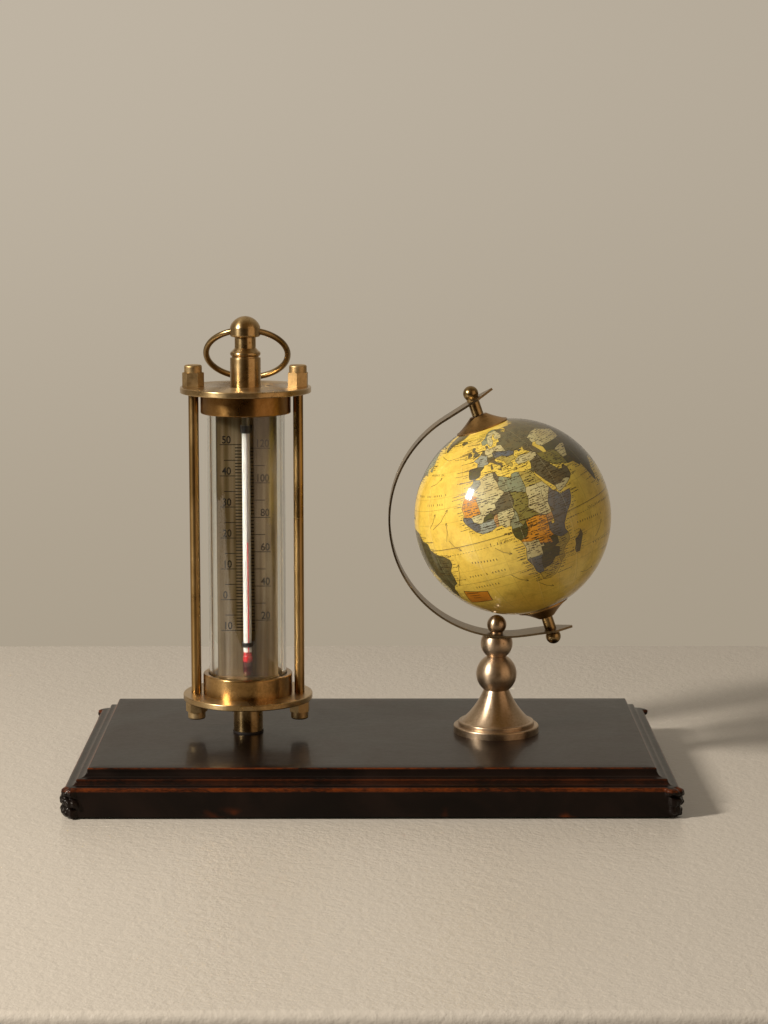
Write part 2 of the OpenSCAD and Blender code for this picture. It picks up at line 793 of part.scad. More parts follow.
module finial_head() {
    dome_h = head_h - head_side_h;
    dome_r = (head_r * head_r + dome_h * dome_h) / (2 * dome_h);
    color(brass_c) at_thermo(head_foot_z) difference() {
        union() {
            rotate_extrude() round_edge(boss_r, 2 * bead_edge_r, bead_edge_r);
            translate([0, 0, bead_h - flare_h]) cylinder(r1 = flare_r, r2 = neck_r, h = flare_h);
            cylinder(r = neck_r, h = head_z - head_foot_z + over);
            translate([0, 0, head_z - head_foot_z]) intersection() {
                rotate_extrude() round_edge(head_r, head_h, head_edge_r);
                translate([0, 0, head_h - dome_r]) sphere(r = dome_r);
            }
        }
        translate([0, 0, -over]) cylinder(r = hole_r, h = finial_stud_in + blind_gap + over);
        translate([0, 0, ring_z - head_foot_z]) rotate([0, 90, 0])
            cylinder(r = ring_hole_r, h = 2 * head_r + 2 * over, center = true);
        translate([0, 0, neck_pin_z - head_foot_z]) rotate([0, 0, neck_pin_turn])
            rotate([90, 0, 0]) cylinder(r = neck_pin_r, h = 2 * neck_r + over, center = true);
    }
}

module neck_pin() {
    color(dark_brass_c) at_thermo(neck_pin_z) rotate([0, 0, neck_pin_turn]) rotate([90, 0, 0])
        cylinder(r = neck_pin_r, h = 2 * neck_r, center = true);
}

module carrying_ring() {
    color(brass_c) at_thermo(ring_z) rotate([ring_lean - 90, 0, 0])
        translate([0, ring_r - ring_bow / 2, 0])
            rotate_extrude() translate([ring_r, 0]) circle(r = ring_wire_r);
}

// A turned cone whose flank is hollowed to an arc of a circle. The circle is set a hair
// inwards, so that it takes a clean corner at both ends.
module hollow_cone(r_low, r_high, h, hollow) {
    chord = norm([r_low - r_high, h]);
    sag = hollow * chord;
    flank_r = (chord * chord / 4 + sag * sag) / (2 * sag);
    outward = [h, r_low - r_high] / chord;
    centre = [(r_low + r_high) / 2, h / 2] + outward * (flank_r - sag - hair);
    rotate_extrude() difference() {
        polygon([[0, 0], [r_low, 0], [r_high, h], [0, h]]);
        translate(centre) circle(r = flank_r, $fn = fine);
    }
}

// The turned foot: a rim, a raised ring and a flared cone
module globe_foot() {
    color(dull_brass_c) at_column(base_h) difference() {
        union() {
            rotate_extrude() {
                rounded_step(foot_r, foot_rim_h, foot_edge_r);
                rounded_step(foot_step_r, foot_rim_h + foot_step_h, foot_edge_r);
            }
            translate([0, 0, foot_rim_h + foot_step_h])
                hollow_cone(cone_foot_r, cone_neck_r, cone_h, cone_hollow);
        }
        translate([0, 0, -over]) cylinder(r = hole_r, h = large_bead_z - base_h + 2 * over);
    }
}

module large_bead() {
    flat_a = sqrt(large_bead_r * large_bead_r - cone_neck_r * cone_neck_r);
    color(dull_brass_c) at_column(large_bead_z) difference() {
        intersection() {
            translate([0, 0, flat_a]) sphere(r = large_bead_r);
            cylinder(r = large_bead_r + over, h = large_bead_h);
        }
        translate([0, 0, -over]) cylinder(r = hole_r, h = large_bead_h + 2 * over);
    }
}

// The small bead's top is hollowed to the arc's outer radius, so the arc lies in it
module small_bead() {
    centre_up = sqrt(small_bead_r * small_bead_r - small_bead_flat_r * small_bead_flat_r);
    color(dull_brass_c) difference() {
        at_column(small_bead_z) intersection() {
            translate([0, 0, centre_up]) sphere(r = small_bead_r);
            cylinder(r = small_bead_r + over, h = 3 * small_bead_r);
        }
        at_arc() rotate([90, 0, 0]) cylinder(r = arc_r, h = 4 * arc_w, center = true, $fn = fine);
        at_column(small_bead_z - over) cylinder(r = hole_r, h = 3 * small_bead_r);
    }
}

module column_stud() {
    color(steel_c) at_column(stud_bottom)
        cylinder(r = stud_r, h = arc_seat_z + arc_t + ball_nut_up - stud_bottom);
}

// The ball nut's underside follows the inside of the arc
module column_ball_nut() {
    color(dull_brass_c) difference() {
        intersection() {
            at_column(arc_seat_z) {
                translate([0, 0, arc_t + ball_nut_up]) sphere(r = ball_nut_r);
                cylinder(r = ball_nut_collar_r, h = arc_t + ball_nut_up);
            }
            at_arc() rotate([90, 0, 0])
                cylinder(r = arc_r - arc_t, h = 4 * arc_w, center = true, $fn = fine);
        }
        at_column(arc_seat_z) cylinder(r = hole_r, h = arc_t + ball_nut_up + blind_gap);
    }
}

// A straight end of the strip with its point, along +X from the end of the round part
module strip_end(l) {
    half = arc_w / 2 + arc_end_swell;
    translate([0, 0, -arc_t - arc_end_swell]) linear_extrude(arc_t + 2 * arc_end_swell)
        polygon([[-arc_end_root, -half], [l - arc_point_l, -half], [l, -arc_tip_half],
            [l, arc_tip_half], [l - arc_point_l, half], [-arc_end_root, half]]);
}

// All that lies to the right of a plane through the arc's centre at this angle
module right_of(a) {
    rotate([0, -a, 0]) translate([0, -2 * arc_r, -2 * arc_r]) cube(4 * arc_r);
}

module meridian_arc() {
    color(dull_brass_c) difference() {
        at_arc() {
            // The round part, from the top end over the left to the bottom end
            difference() {
                rotate([90, 0, 0]) translate([0, 0, -arc_w / 2]) tube(arc_r, arc_r - arc_t, arc_w);
                right_of(arc_top_a);
                right_of(arc_bottom_a);
            }
            rotate([0, -arc_top_a, 0]) translate([0, 0, arc_r]) strip_end(arc_top_l);
            rotate([0, -arc_bottom_a, 0]) mirror([0, 0, 1]) translate([0, 0, arc_r])
                strip_end(arc_bottom_l);
        }
        at_column(arc_seat_z - over) cylinder(r = hole_r, h = arc_t + 3 * over);
        at_globe() cylinder(r = spindle_r + stud_gap, h = 3 * arc_r, center = true);
    }
}

module globe_spindle() {
    color(steel_c) at_globe() translate([0, 0, -bottom_reach - spindle_nut_up])
        cylinder(r = spindle_r, h = top_reach + bottom_reach + 2 * spindle_nut_up);
}

// What lies nearer to the arc's centre than this plane of a straight end.
// side is 1 for the top end and -1 for the bottom end.
module inside_end(side, a, plane_r) {
    at_arc() rotate([0, -a, 0]) mirror([0, 0, side > 0 ? 0 : 1])
        translate([-arc_r, -arc_r, plane_r - 2 * arc_r]) cube(2 * arc_r);
}

module sleeve() {
    difference() {
        translate([0, 0, cap_top_z + end_play])
            cylinder(r = sleeve_r, h = top_reach + bottom_reach);
        cylinder(r = spindle_r + stud_gap, h = 2 * (top_reach + bottom_reach));
    }
}

module upper_sleeve() {
    color(dark_brass_c) intersection() {
        at_globe() sleeve();
        inside_end(1, arc_top_a, arc_back_r);
    }
}

module lower_sleeve() {
    color(dark_brass_c) intersection() {
        at_globe() mirror([0, 0, 1]) sleeve();
        inside_end(-1, arc_bottom_a, arc_back_r);
    }
}

// A ball on a short collar, drilled blind; the arc's face cuts off what is below it
module spindle_nut(reach) {
    difference() {
        union() {
            translate([0, 0, reach + spindle_nut_up]) sphere(r = spindle_nut_r);
            translate([0, 0, reach - over]) cylinder(r = spindle_collar_r, h = spindle_collar_h + over);
        }
        translate([0, 0, reach - 2 * over])
            cylinder(r = spindle_r + stud_gap, h = spindle_nut_up + 2 * over + blind_gap);
    }
}

module upper_spindle_nut() {
    color(brass_c) difference() {
        at_globe() spindle_nut(top_reach);
        inside_end(1, arc_top_a, arc_face_r);
    }
}

module lower_spindle_nut() {
    color(brass_c) difference() {
        at_globe() mirror([0, 0, 1]) spindle_nut(bottom_reach);
        inside_end(-1, arc_bottom_a, arc_face_r);
    }
}

// A polar cap: a hollow-sided cone on a thin rim, seated on the globe, with a spigot
// in the globe's pole hole and a running bore for the spindle
module polar_cap() {
    spigot_z = globe_r - globe_t - spigot_l;
    difference() {
        union() {
            difference() {
                translate([0, 0, cap_rim_z]) {
                    translate([0, 0, -over]) cylinder(r = cap_r, h = cap_rim_t + over);
                    translate([0, 0, cap_rim_t])
                        hollow_cone(cap_r - cap_lip, cap_top_r, cap_h - cap_rim_t, cap_hollow);
                }
                sphere(r = globe_r, $fn = fine);
            }
            translate([0, 0, spigot_z]) cylinder(r = spigot_r, h = cap_top_z - spigot_z - over);
        }
        cylinder(r = spindle_r + run_gap, h = cap_top_z + over);
    }
}

module north_cap() {
    color(dark_brass_c) at_globe() polar_cap();
}

module south_cap() {
    color(dark_brass_c) at_globe() mirror([0, 0, 1]) polar_cap();
}

module globe_half() {
    difference() {
        sphere(r = globe_r, $fn = fine);
        sphere(r = globe_r - globe_t, $fn = fine);
        translate([0, 0, -globe_r - over]) cylinder(r = globe_r + over, h = globe_r + over);
        cylinder(r = spigot_r + spigot_gap, h = globe_r + over);
    }
}

module north_half() {
    color("#d9b24a") at_globe() globe_half();
}

// The southern half has the lap that slides into the northern half
module south_half() {
    lap_r = sqrt(pow(globe_r - globe_t, 2) - lap_l * lap_l) - lap_gap;
    color("#d9b24a") at_globe() {
        mirror([0, 0, 1]) globe_half();
        tube(lap_r, lap_r - lap_t, lap_l);
        translate([0, 0, -lap_l]) tube(globe_r - globe_t / 2, lap_r - lap_t, lap_l);
    }
}

base_board();
leather_cover();
felt_base();
base_nuts();
base_washers();
pedestal_stud();
pedestal_washer();
pedestal_spacer();
lower_plate();
lower_collar();
lower_gasket();
lower_seat();
glass_tube();
scale_plate();
stem_glass();
spirit_fill();
upper_clip();
lower_clip();
upper_seat();
upper_gasket();
upper_collar();
upper_plate();
tie_rods();
upper_cap_nuts();
lower_cap_nuts();
finial_stud();
finial_boss();
finial_head();
neck_pin();
carrying_ring();
globe_foot();
large_bead();
small_bead();
column_stud();
column_ball_nut();
meridian_arc();
globe_spindle();
upper_sleeve();
lower_sleeve();
upper_spindle_nut();
lower_spindle_nut();
north_cap();
south_cap();
north_half();
south_half();
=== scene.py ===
"""Dresses the desk stand: leather-covered board, brass thermometer and tilted globe.

Lengths are in metres, in the frame of the CAD model: +X right, +Y back, +Z up.
"""
import math
import random

import bmesh
import bpy
import numpy as np
from mathutils import Matrix, Vector, geometry


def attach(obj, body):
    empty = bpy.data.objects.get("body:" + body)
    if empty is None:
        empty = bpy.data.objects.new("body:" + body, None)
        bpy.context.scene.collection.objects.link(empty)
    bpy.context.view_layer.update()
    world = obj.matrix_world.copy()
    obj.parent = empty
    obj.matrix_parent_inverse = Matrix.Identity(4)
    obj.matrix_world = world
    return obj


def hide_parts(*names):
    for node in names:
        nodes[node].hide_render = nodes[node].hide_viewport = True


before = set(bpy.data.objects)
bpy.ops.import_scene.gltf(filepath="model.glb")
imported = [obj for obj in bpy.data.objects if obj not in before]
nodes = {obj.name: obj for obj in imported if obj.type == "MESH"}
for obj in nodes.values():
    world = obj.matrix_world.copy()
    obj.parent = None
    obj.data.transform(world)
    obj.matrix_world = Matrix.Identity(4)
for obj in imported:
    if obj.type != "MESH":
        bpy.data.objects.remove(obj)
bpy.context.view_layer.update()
MM = 0.001
THERMO_X, COLUMN_X = -0.0642, 0.0642
GLOBE = Vector((0.0719, 0, 0.1354264))
TILT = math.radians(19)


# Shader sheets
class Wire:
    """A value or colour on a shader sheet, used like a number in arithmetic."""

    def __init__(self, sheet, socket):
        self.sheet, self.socket = sheet, socket

    def maths(self, operation, *values):
        return self.sheet.node("Math", {"operation": operation}, dict(enumerate(values)))

    def __add__(self, other):
        return self.maths("ADD", self, other)

    __radd__ = __add__

    def __sub__(self, other):
        return self.maths("SUBTRACT", self, other)

    def __rsub__(self, other):
        return self.maths("SUBTRACT", other, self)

    def __mul__(self, other):
        return self.maths("MULTIPLY", self, other)

    __rmul__ = __mul__

    def __truediv__(self, other):
        return self.maths("DIVIDE", self, other)

    def __abs__(self):
        return self.maths("ABSOLUTE", self)

    def most(self, other):
        return self.maths("MAXIMUM", self, other)

    def least(self, other):
        return self.maths("MINIMUM", self, other)

    def to_whole(self):
        """How far the value is from the nearest whole number."""
        return abs(abs(self.maths("FRACT", self) - 0.5) - 0.5)

    def ease(self, low, high, start=0.0, end=1.0):
        """From start to end as the value goes from low to high, smoothly."""
        inputs = {"Value": self, "From Min": low, "From Max": high, "To Min": start, "To Max": end}
        return self.sheet.node("MapRange", {"interpolation_type": "SMOOTHSTEP"}, inputs)

    def fall(self, low, high):
        """From 1 to 0 as the value goes from low to high, smoothly."""
        return self.ease(low, high, 1.0, 0.0)

    def near(self, middle, close, far):
        """1 within close of the middle, and 0 beyond far from it."""
        return abs(self - middle).fall(close, far)


class Sheet:
    """The nodes of the world or of a new material, given by its name."""

    def __init__(self, owner):
        if isinstance(owner, str):
            owner = bpy.data.materials.new(owner)
        owner.use_nodes = True
        self.owner, self.tree = owner, owner.node_tree
        self.tree.nodes.clear()

    def node(self, kind, settings=None, inputs=None, out=0):
        """A node of the type ShaderNode + kind: its settings, then its sockets' values or links."""
        made = self.tree.nodes.new("ShaderNode" + kind)
        for key, value in (settings or {}).items():
            if key == "stops":
                ramp = made.color_ramp
                while len(ramp.elements) < len(value):
                    ramp.elements.new(0.5)
                for element, (place, colour) in zip(ramp.elements, value):
                    element.position = place
                    element.color = (*colour, 1)
            else:
                setattr(made, key, value)
        for key, value in (inputs or {}).items():
            if isinstance(value, Wire):
                self.tree.links.new(value.socket, made.inputs[key])
            else:
                made.inputs[key].default_value = value
        return Wire(self, made.outputs[out]) if made.outputs else None

    def place(self):
        return self.node("TexCoord", out="Object")

    def axes(self, vector):
        split = self.node("SeparateXYZ", {}, {0: vector})
        return [Wire(self, socket) for socket in split.socket.node.outputs]

    def stretch(self, vector, scale, shift=(0, 0, 0)):
        return self.node("Mapping", {}, {"Vector": vector, "Scale": scale, "Location": shift})

    def noise(self, vector, scale, detail=3.0, roughness=0.55, distortion=0.0):
        return self.node("TexNoise", {}, {"Vector": vector, "Scale": scale, "Detail": detail,
                                          "Roughness": roughness, "Distortion": distortion})

    def cells(self, vector, scale):
        return self.node("TexVoronoi", {}, {"Vector": vector, "Scale": scale})

    def ramp(self, value, *stops):
        return self.node("ValToRGB", {"stops": stops}, {0: value})

    def mix(self, factor, first, second, blend="MIX"):
        first, second = [c if isinstance(c, Wire) else (*c, 1) for c in (first, second)]
        return self.node("Mix", {"data_type": "RGBA", "blend_type": blend},
                         {0: factor, 6: first, 7: second}, out=2)

    def bump(self, height, distance, strength, under=None):
        inputs = {"Height": height, "Distance": distance, "Strength": strength}
        if under:
            inputs["Normal"] = under
        return self.node("Bump", {}, inputs)

    def surface(self, **inputs):
        """Ends the sheet in a Principled shader, whose sockets have _ here for each space."""
        named = {key.replace("_", " "): value for key, value in inputs.items()}
        self.node("OutputMaterial", {}, {"Surface": self.node("BsdfPrincipled", {}, named)})
        return self.owner


def rgb(red, green, blue):
    """A colour given as it looks on a screen, 0 to 255, as the linear values that shaders use."""
    def linear(v):
        v /= 255
        return v / 12.92 if v <= 0.04045 else ((v + 0.055) / 1.055) ** 2.4
    return (linear(red), linear(green), linear(blue))


def select(*chosen):
    """Selects only these objects, with the first one active."""
    bpy.ops.object.select_all(action="DESELECT")
    for obj in chosen:
        obj.select_set(True)
    bpy.context.view_layer.objects.active = chosen[0]


# The camera, at the photograph's viewing angle
FOCAL_PX, TALL_PX, SENSOR = 2480, 1024, 36
EYE = (0.00237, -1.25552, 0.32382)
DOWN, RIGHT = 8.43, 0.17
lens = bpy.data.cameras.new("camera")
lens.lens, lens.sensor_width = FOCAL_PX / TALL_PX * SENSOR, SENSOR
camera = bpy.data.objects.new("camera", lens)
camera.location = EYE
camera.rotation_euler = (math.radians(90 - DOWN), 0, math.radians(-RIGHT))
bpy.context.collection.objects.link(camera)
bpy.context.scene.camera = camera
bpy.context.scene.view_settings.view_transform = "Standard"

# The key lamp, high on the left in front
MIDDLE = Vector((0.02, 0, 0.1))
TO_LAMP, LAMP_AWAY = Vector((-0.756, -0.445, 0.483)), 2.0
light = bpy.data.lights.new("key", "AREA")
light.shape = "RECTANGLE"
light.size, light.size_y = 0.2, 0.34
light.energy = 53
light.color = (1.0, 0.97, 0.92)
lamp = bpy.data.objects.new("key", light)
lamp.location = MIDDLE + TO_LAMP.normalized() * LAMP_AWAY
lamp.rotation_euler = (MIDDLE - lamp.location).to_track_quat("-Z", "Y").to_euler()
bpy.context.collection.objects.link(lamp)


def paint_room(world):
    """The wall that the camera sees, what metal and glass see, and an even light for the rest."""
    room = Sheet(world)
    ray_x, ray_y, ray_z = room.axes(room.node("TexCoord", out="Generated"))
    # Painted shade: the wall that the camera sees is darker towards the bottom and towards the right
    wall = room.mix(ray_z.ease(-0.24, 0.06), rgb(170, 158, 139), rgb(191, 180, 163))
    wall = room.mix(ray_x.ease(-0.2, 0.25, 0.0, 0.34), wall, rgb(156, 145, 128))
    # On the camera's side the room is dim, with a brown screen in it to the right
    turn = ray_x.maths("ARCTAN2", ray_x, 0 - ray_y)
    screen = turn.ease(0.42, 0.5) * turn.fall(1.3, 1.42) * ray_z.fall(0.58, 0.66)
    dim = room.mix(ray_z.ease(-0.1, 0.9), rgb(40, 27, 9), rgb(108, 86, 54))
    dim = room.mix(screen * ray_z.ease(-0.3, -0.1), dim, rgb(236, 202, 166))
    behind = room.mix(abs(ray_x).ease(0.4, 0.85, 0.0, 0.6), wall, rgb(70, 54, 34))
    seen_by_gloss = room.mix(ray_y.ease(-0.25, 0.35), dim, behind)
    even = (0.232, 0.217, 0.196)
    camera_ray, glossy_ray, through_ray = [
        room.node("LightPath", out=f"Is {kind} Ray") for kind in ("Camera", "Glossy", "Transmission")]
    lit = room.mix(glossy_ray.most(through_ray), even, seen_by_gloss)
    lit = room.mix(camera_ray, lit, wall)
    background = room.node("Background", {}, {"Color": lit, "Strength": 1.0})
    room.node("OutputWorld", {}, {"Surface": background})


bpy.context.scene.world = bpy.data.worlds.new("studio")
paint_room(bpy.context.scene.world)

# A long narrow table with rounded edges
TABLE_BACK, TABLE_FRONT, TABLE_HALF, TABLE_THICK = 0.336, -0.3585, 1.1, 0.03
bpy.ops.object.select_all(action="DESELECT")
bpy.ops.mesh.primitive_cube_add(size=1)
floor = bpy.context.object
floor.name = "floor"
floor.data.transform(Matrix.Diagonal((2 * TABLE_HALF, TABLE_BACK - TABLE_FRONT, TABLE_THICK, 1)))
floor.data.transform(Matrix.Translation((0, (TABLE_BACK + TABLE_FRONT) / 2, -TABLE_THICK / 2)))
soft = floor.modifiers.new("soft", "BEVEL")
soft.width, soft.segments = 0.004, 5
bpy.ops.object.modifier_apply(modifier="soft")
bpy.ops.object.shade_smooth_by_angle(angle=math.radians(30))
sheet = Sheet("pale_floor")
spot = sheet.place()
grain = sheet.noise(spot, 150, 4, 0.6) + 0.6 * sheet.noise(spot, 420, 2)
floor.data.materials.append(sheet.surface(
    Base_Color=sheet.mix(sheet.noise(spot, 7, 3), rgb(194, 182, 165), rgb(200, 188, 172)),
    Roughness=0.36, Specular_IOR_Level=0.5, Normal=sheet.bump(grain, 0.0008, 0.6)))


# Finishes
def old_brass(name, light, middle, dark, rough=0.26, turned=0.0, cloud_scale=55, grain=0.3,
              fleck=0.3):
    """Old lacquered brass, clouded and spotted, with fine lines round its upright axis.

    turned is how far its highlights are drawn out across those lines, a quarter turn from
    the way round the axis, grain is how strong the lines are, and fleck how spotted it is.
    """
    sheet = Sheet(name)
    spot = sheet.place()
    cloud = sheet.noise(spot, cloud_scale, 4, 0.6, 0.6)
    fine = sheet.noise(spot, 900, 3, 0.6)
    freckles = sheet.cells(spot, 330).fall(0.05, 0.22) * sheet.noise(spot, 75, 2).ease(0.5, 0.62)
    colour = sheet.ramp(cloud * (1 - fleck) + fine * fleck, (0.3, dark), (0.48, middle), (0.7, light))
    colour = sheet.mix(freckles * fleck * 1.6, colour, dark)
    rings = sheet.noise(sheet.stretch(spot, (40, 40, 2400)), 1.0, 2)
    return sheet.surface(
        Base_Color=colour, Metallic=1.0, Anisotropic=turned, Anisotropic_Rotation=0.25,
        Roughness=rough + 0.1 * cloud.ease(0.35, 0.7) + 0.15 * freckles,
        Normal=sheet.bump(rings * 0.5 + fine * 0.3, 0.00004, grain))


def mottled(name, scale, detail, first, second, **shine):
    """A plain finish that wanders between two colours."""
    sheet = Sheet(name)
    colour = sheet.mix(sheet.noise(sheet.place(), scale, detail), first, second)
    return sheet.surface(Base_Color=colour, **shine)


def clear_glass():
    sheet = Sheet("tube_glass")
    smear = sheet.noise(sheet.place(), 40, 3).ease(0.55, 0.8)
    return sheet.surface(Base_Color=(0.965, 0.98, 0.97, 1), Roughness=0.015 * smear, IOR=1.47,
                         Transmission_Weight=1.0)


def plate_brass():
    """The scale plate: dull brass with upright light and dark bands painted in as reflections, and finely
    scratched.
    """
    sheet = Sheet("scale_brass")
    spot = sheet.place()
    cloud = sheet.noise(sheet.stretch(spot, (1, 1, 0.4)), 60, 4, 0.6)
    # Painted reflection: upright light and dark bands in the colour stand for what the polished plate
    # mirrors
    rubbed = sheet.noise(sheet.stretch(spot, (230, 230, 5), (2.0, 0, 0)), 1.0, 2)
    scratch = sheet.noise(sheet.stretch(spot, (900, 900, 30)), 1.0, 2)
    colour = sheet.ramp(rubbed * 0.75 + cloud * 0.25, (0.36, rgb(66, 52, 29)),
                        (0.5, rgb(97, 78, 48)), (0.64, rgb(140, 122, 93)))
    return sheet.surface(
        Base_Color=colour, Metallic=0.85, Roughness=0.32 + 0.14 * cloud, Specular_IOR_Level=0.2,
        Normal=sheet.bump(scratch, 0.00004, 0.4))


def stem():
    """White-backed glass over the red bulb, with its bore as a fine line right of the middle.

    The bore is red up to the spirit's top and grey above it. Painted shade darkens the stem
    above the upper clip and the lower part of the bulb.
    """
    stem_y, bulb_top, spirit_top, clip_top = -0.0011, 0.0656, 0.12237, 0.1818
    edge = 0.0004
    sheet = Sheet("stem_glass")
    spot = sheet.place()
    x, y, z = sheet.axes(spot)
    white = sheet.mix(sheet.noise(spot, 300, 2), rgb(178, 173, 164), rgb(190, 186, 178))
    bore = x.near(THERMO_X + 0.0006, 0.0002, 0.0004) * (y - stem_y).fall(-0.0004, 0.0)
    colour = sheet.mix(bore * z.ease(spirit_top, spirit_top + edge), white, rgb(138, 126, 124))
    colour = sheet.mix(bore * z.fall(spirit_top, spirit_top + edge), colour, rgb(196, 40, 52))
    # Painted shade: above the upper clip the stem is painted a dark grey brown
    colour = sheet.mix(z.ease(clip_top, clip_top + 0.0006), colour, rgb(92, 84, 66))
    # Painted shade: the bulb's lower part is painted dark red under a bright red top
    red = sheet.mix(z.ease(bulb_top - 0.0062, bulb_top - 0.0042), rgb(42, 3, 9), rgb(138, 0, 14))
    colour = sheet.mix(z.fall(bulb_top - 0.0006, bulb_top), colour, red)
    return sheet.surface(Base_Color=colour, Roughness=0.12, Coat_Weight=1.0, Coat_Roughness=0.03)


def cork():
    sheet = Sheet("cork")
    colour = sheet.ramp(sheet.noise(sheet.place(), 700, 4), (0.35, rgb(96, 66, 40)),
                        (0.6, rgb(160, 122, 82)))
    return sheet.surface(Base_Color=colour, Roughness=0.9)


def green_felt():
    sheet = Sheet("green_felt")
    fluff = sheet.noise(sheet.place(), 1500, 3)
    return sheet.surface(Base_Color=sheet.mix(fluff, rgb(20, 44, 30), rgb(44, 84, 58)),
                         Roughness=1.0, Sheen_Weight=0.4, Sheen_Roughness=0.6,
                         Normal=sheet.bump(fluff, 0.0003, 0.6))


def board_wood():
    sheet = Sheet("board_wood")
    rings = sheet.noise(sheet.stretch(sheet.place(), (6, 60, 60)), 1.0, 4, 0.6, 1.0)
    return sheet.surface(Base_Color=sheet.ramp(rings, (0.35, rgb(84, 54, 32)), (0.65, rgb(128, 88, 54))),
                         Roughness=0.7)


def polished_leather():
    """Dark leather over a moulded board, rubbed to orange brown along its edges."""
    band_edge, ridge, cove, top_edge = 0.0146, 0.0182, 0.0166, 0.0227
    sheet = Sheet("leather")
    spot = sheet.place()
    z = sheet.axes(spot)[2]
    pores = sheet.cells(spot, 1500)
    crease = sheet.noise(spot, 420, 4, 0.65)
    patch = sheet.noise(spot, 22, 4, 0.6, 0.8)
    base = sheet.mix(patch.ease(0.35, 0.7), rgb(10, 6, 5), rgb(24, 14, 10))
    upright = sheet.noise(sheet.stretch(spot, (1, 1, 3)), 500, 4, 0.7)
    uneven_wear = sheet.noise(spot, 45, 3) * 0.5 + upright * 0.5
    up = sheet.axes(sheet.node("NewGeometry", out="Normal"))[2]
    slanted = abs(up).fall(0.9, 0.985)
    edges = (z.near(band_edge, 0.0005, 0.0014) + z.near(ridge, 0.0002, 0.0009) * 0.45
             + z.near(top_edge, 0.0001, 0.0006))
    worn = edges.least(1.0) * slanted * uneven_wear.ease(0.34, 0.66)
    scuff = sheet.noise(spot, 34, 3).ease(0.58, 0.68) * z.fall(0.001, 0.007)
    rubbed = z.near(cove, 0.0005, 0.0014) * slanted * uneven_wear.ease(0.4, 0.6) * 0.09
    colour = sheet.mix((worn * 0.7).most(scuff * 0.5).most(rubbed), base, rgb(118, 52, 13))
    wavy = sheet.noise(sheet.stretch(spot, (0.5, 1, 1)), 70, 3, 0.6, 0.6)
    return sheet.surface(
        Base_Color=colour, Roughness=0.24 + 0.16 * patch + 0.1 * crease, IOR=1.22,
        Specular_Tint=(1.0, 0.88, 0.74, 1.0), Coat_Weight=0.3, Coat_Roughness=0.09, Coat_IOR=1.22,
        Normal=sheet.bump(crease * 0.6 + pores * 0.4, 0.00009, 0.5,
                          under=sheet.bump(wavy, 0.0005, 0.22)))


def finish(material, names):
    """Gives the CAD nodes with these names a finish."""
    for name in names.split():
        mesh = nodes[name].data
        mesh.materials.clear()
        mesh.materials.append(material)


BRASS = (rgb(206, 178, 132), rgb(178, 150, 105), rgb(134, 106, 64))
leather, felt = polished_leather(), green_felt()
finish(old_brass("brass_thermometer", *BRASS, turned=0.6),
       "pedestal_spacer lower_plate upper_plate lower_seat upper_seat finial_boss finial_head")
finish(old_brass("brass_nuts", *BRASS, rough=0.42, grain=0.1), "upper_cap_nuts lower_cap_nuts")
finish(old_brass("brass_rods", rgb(172, 142, 94), rgb(152, 121, 74), rgb(118, 92, 52), turned=0.4,
                 cloud_scale=20, grain=0.04, fleck=0.06), "tie_rods")
finish(old_brass("brass_ring", rgb(168, 144, 102), rgb(146, 122, 82), rgb(110, 88, 54), grain=0.03,
                 fleck=0.12),
       "carrying_ring upper_spindle_nut lower_spindle_nut upper_sleeve lower_sleeve")
finish(old_brass("brass_column", rgb(204, 182, 154), rgb(180, 156, 128), rgb(138, 114, 88),
                 rough=0.34, turned=0.6), "globe_foot large_bead small_bead column_ball_nut")
finish(old_brass("brass_dark_caps", rgb(190, 150, 94), rgb(160, 124, 74), rgb(112, 84, 46),
                 rough=0.38, grain=0.15), "north_cap south_cap neck_pin")
# Painted shade: the collars get darker copies of the thermometer's brass, the upper one darkest
finish(old_brass("brass_collar_painted_shade", rgb(164, 126, 76), rgb(134, 98, 52), rgb(92, 64, 30),
                 turned=0.6), "upper_collar")
finish(old_brass("brass_lower_collar_painted_shade", rgb(194, 158, 104), rgb(160, 127, 80), rgb(112, 84, 45),
                 rough=0.23, turned=0.6), "lower_collar")
finish(old_brass("bronze_arc", rgb(166, 146, 114), rgb(132, 114, 86), rgb(86, 72, 50), rough=0.3),
       "meridian_arc")
finish(old_brass("steel", rgb(170, 170, 172), rgb(140, 140, 142), rgb(90, 88, 86), rough=0.3),
       "pedestal_stud finial_stud column_stud globe_spindle base_nuts base_washers")
finish(mottled("red_spirit", 500, 2, rgb(150, 10, 24), rgb(190, 18, 36), Roughness=0.08,
               Coat_Weight=1.0, Coat_Roughness=0.02), "spirit_fill")
finish(mottled("black_strip", 400, 3, rgb(12, 10, 9), rgb(26, 22, 18), Roughness=0.4),
       "upper_clip lower_clip")
finish(mottled("dark_fibre", 600, 3, rgb(18, 14, 12), rgb(44, 32, 24), Roughness=0.55),
       "pedestal_washer")
finish(clear_glass(), "glass_tube")
finish(plate_brass(), "scale_plate")
finish(stem(), "stem_glass")
finish(cork(), "lower_gasket upper_gasket")
finish(felt, "felt_base")
finish(board_wood(), "base_board")
finish(leather, "leather_cover")
# Clear glass lets the lamp's light in
nodes["glass_tube"].visible_shadow = False


# New pieces
def new_piece(name, mesh, material):
    """An object of the mesh, alone selected."""
    obj = bpy.data.objects.new(name, mesh)
    bpy.context.collection.objects.link(obj)
    mesh.materials.append(material)
    select(obj)
    return obj


def settle(obj, body, slot, *nodes_shown):
    """Says what body a piece rides on and hides the CAD nodes that it stands for; slot is not used."""
    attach(obj, body)
    if nodes_shown:
        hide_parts(*nodes_shown)


def flat_piece(name, body, points, faces, material, slot):
    """A piece of flat-shaded faces."""
    mesh = bpy.data.meshes.new(name)
    mesh.from_pydata([tuple(p) for p in points], [], faces)
    mesh.validate()
    settle(new_piece(name, mesh, material), body, slot)


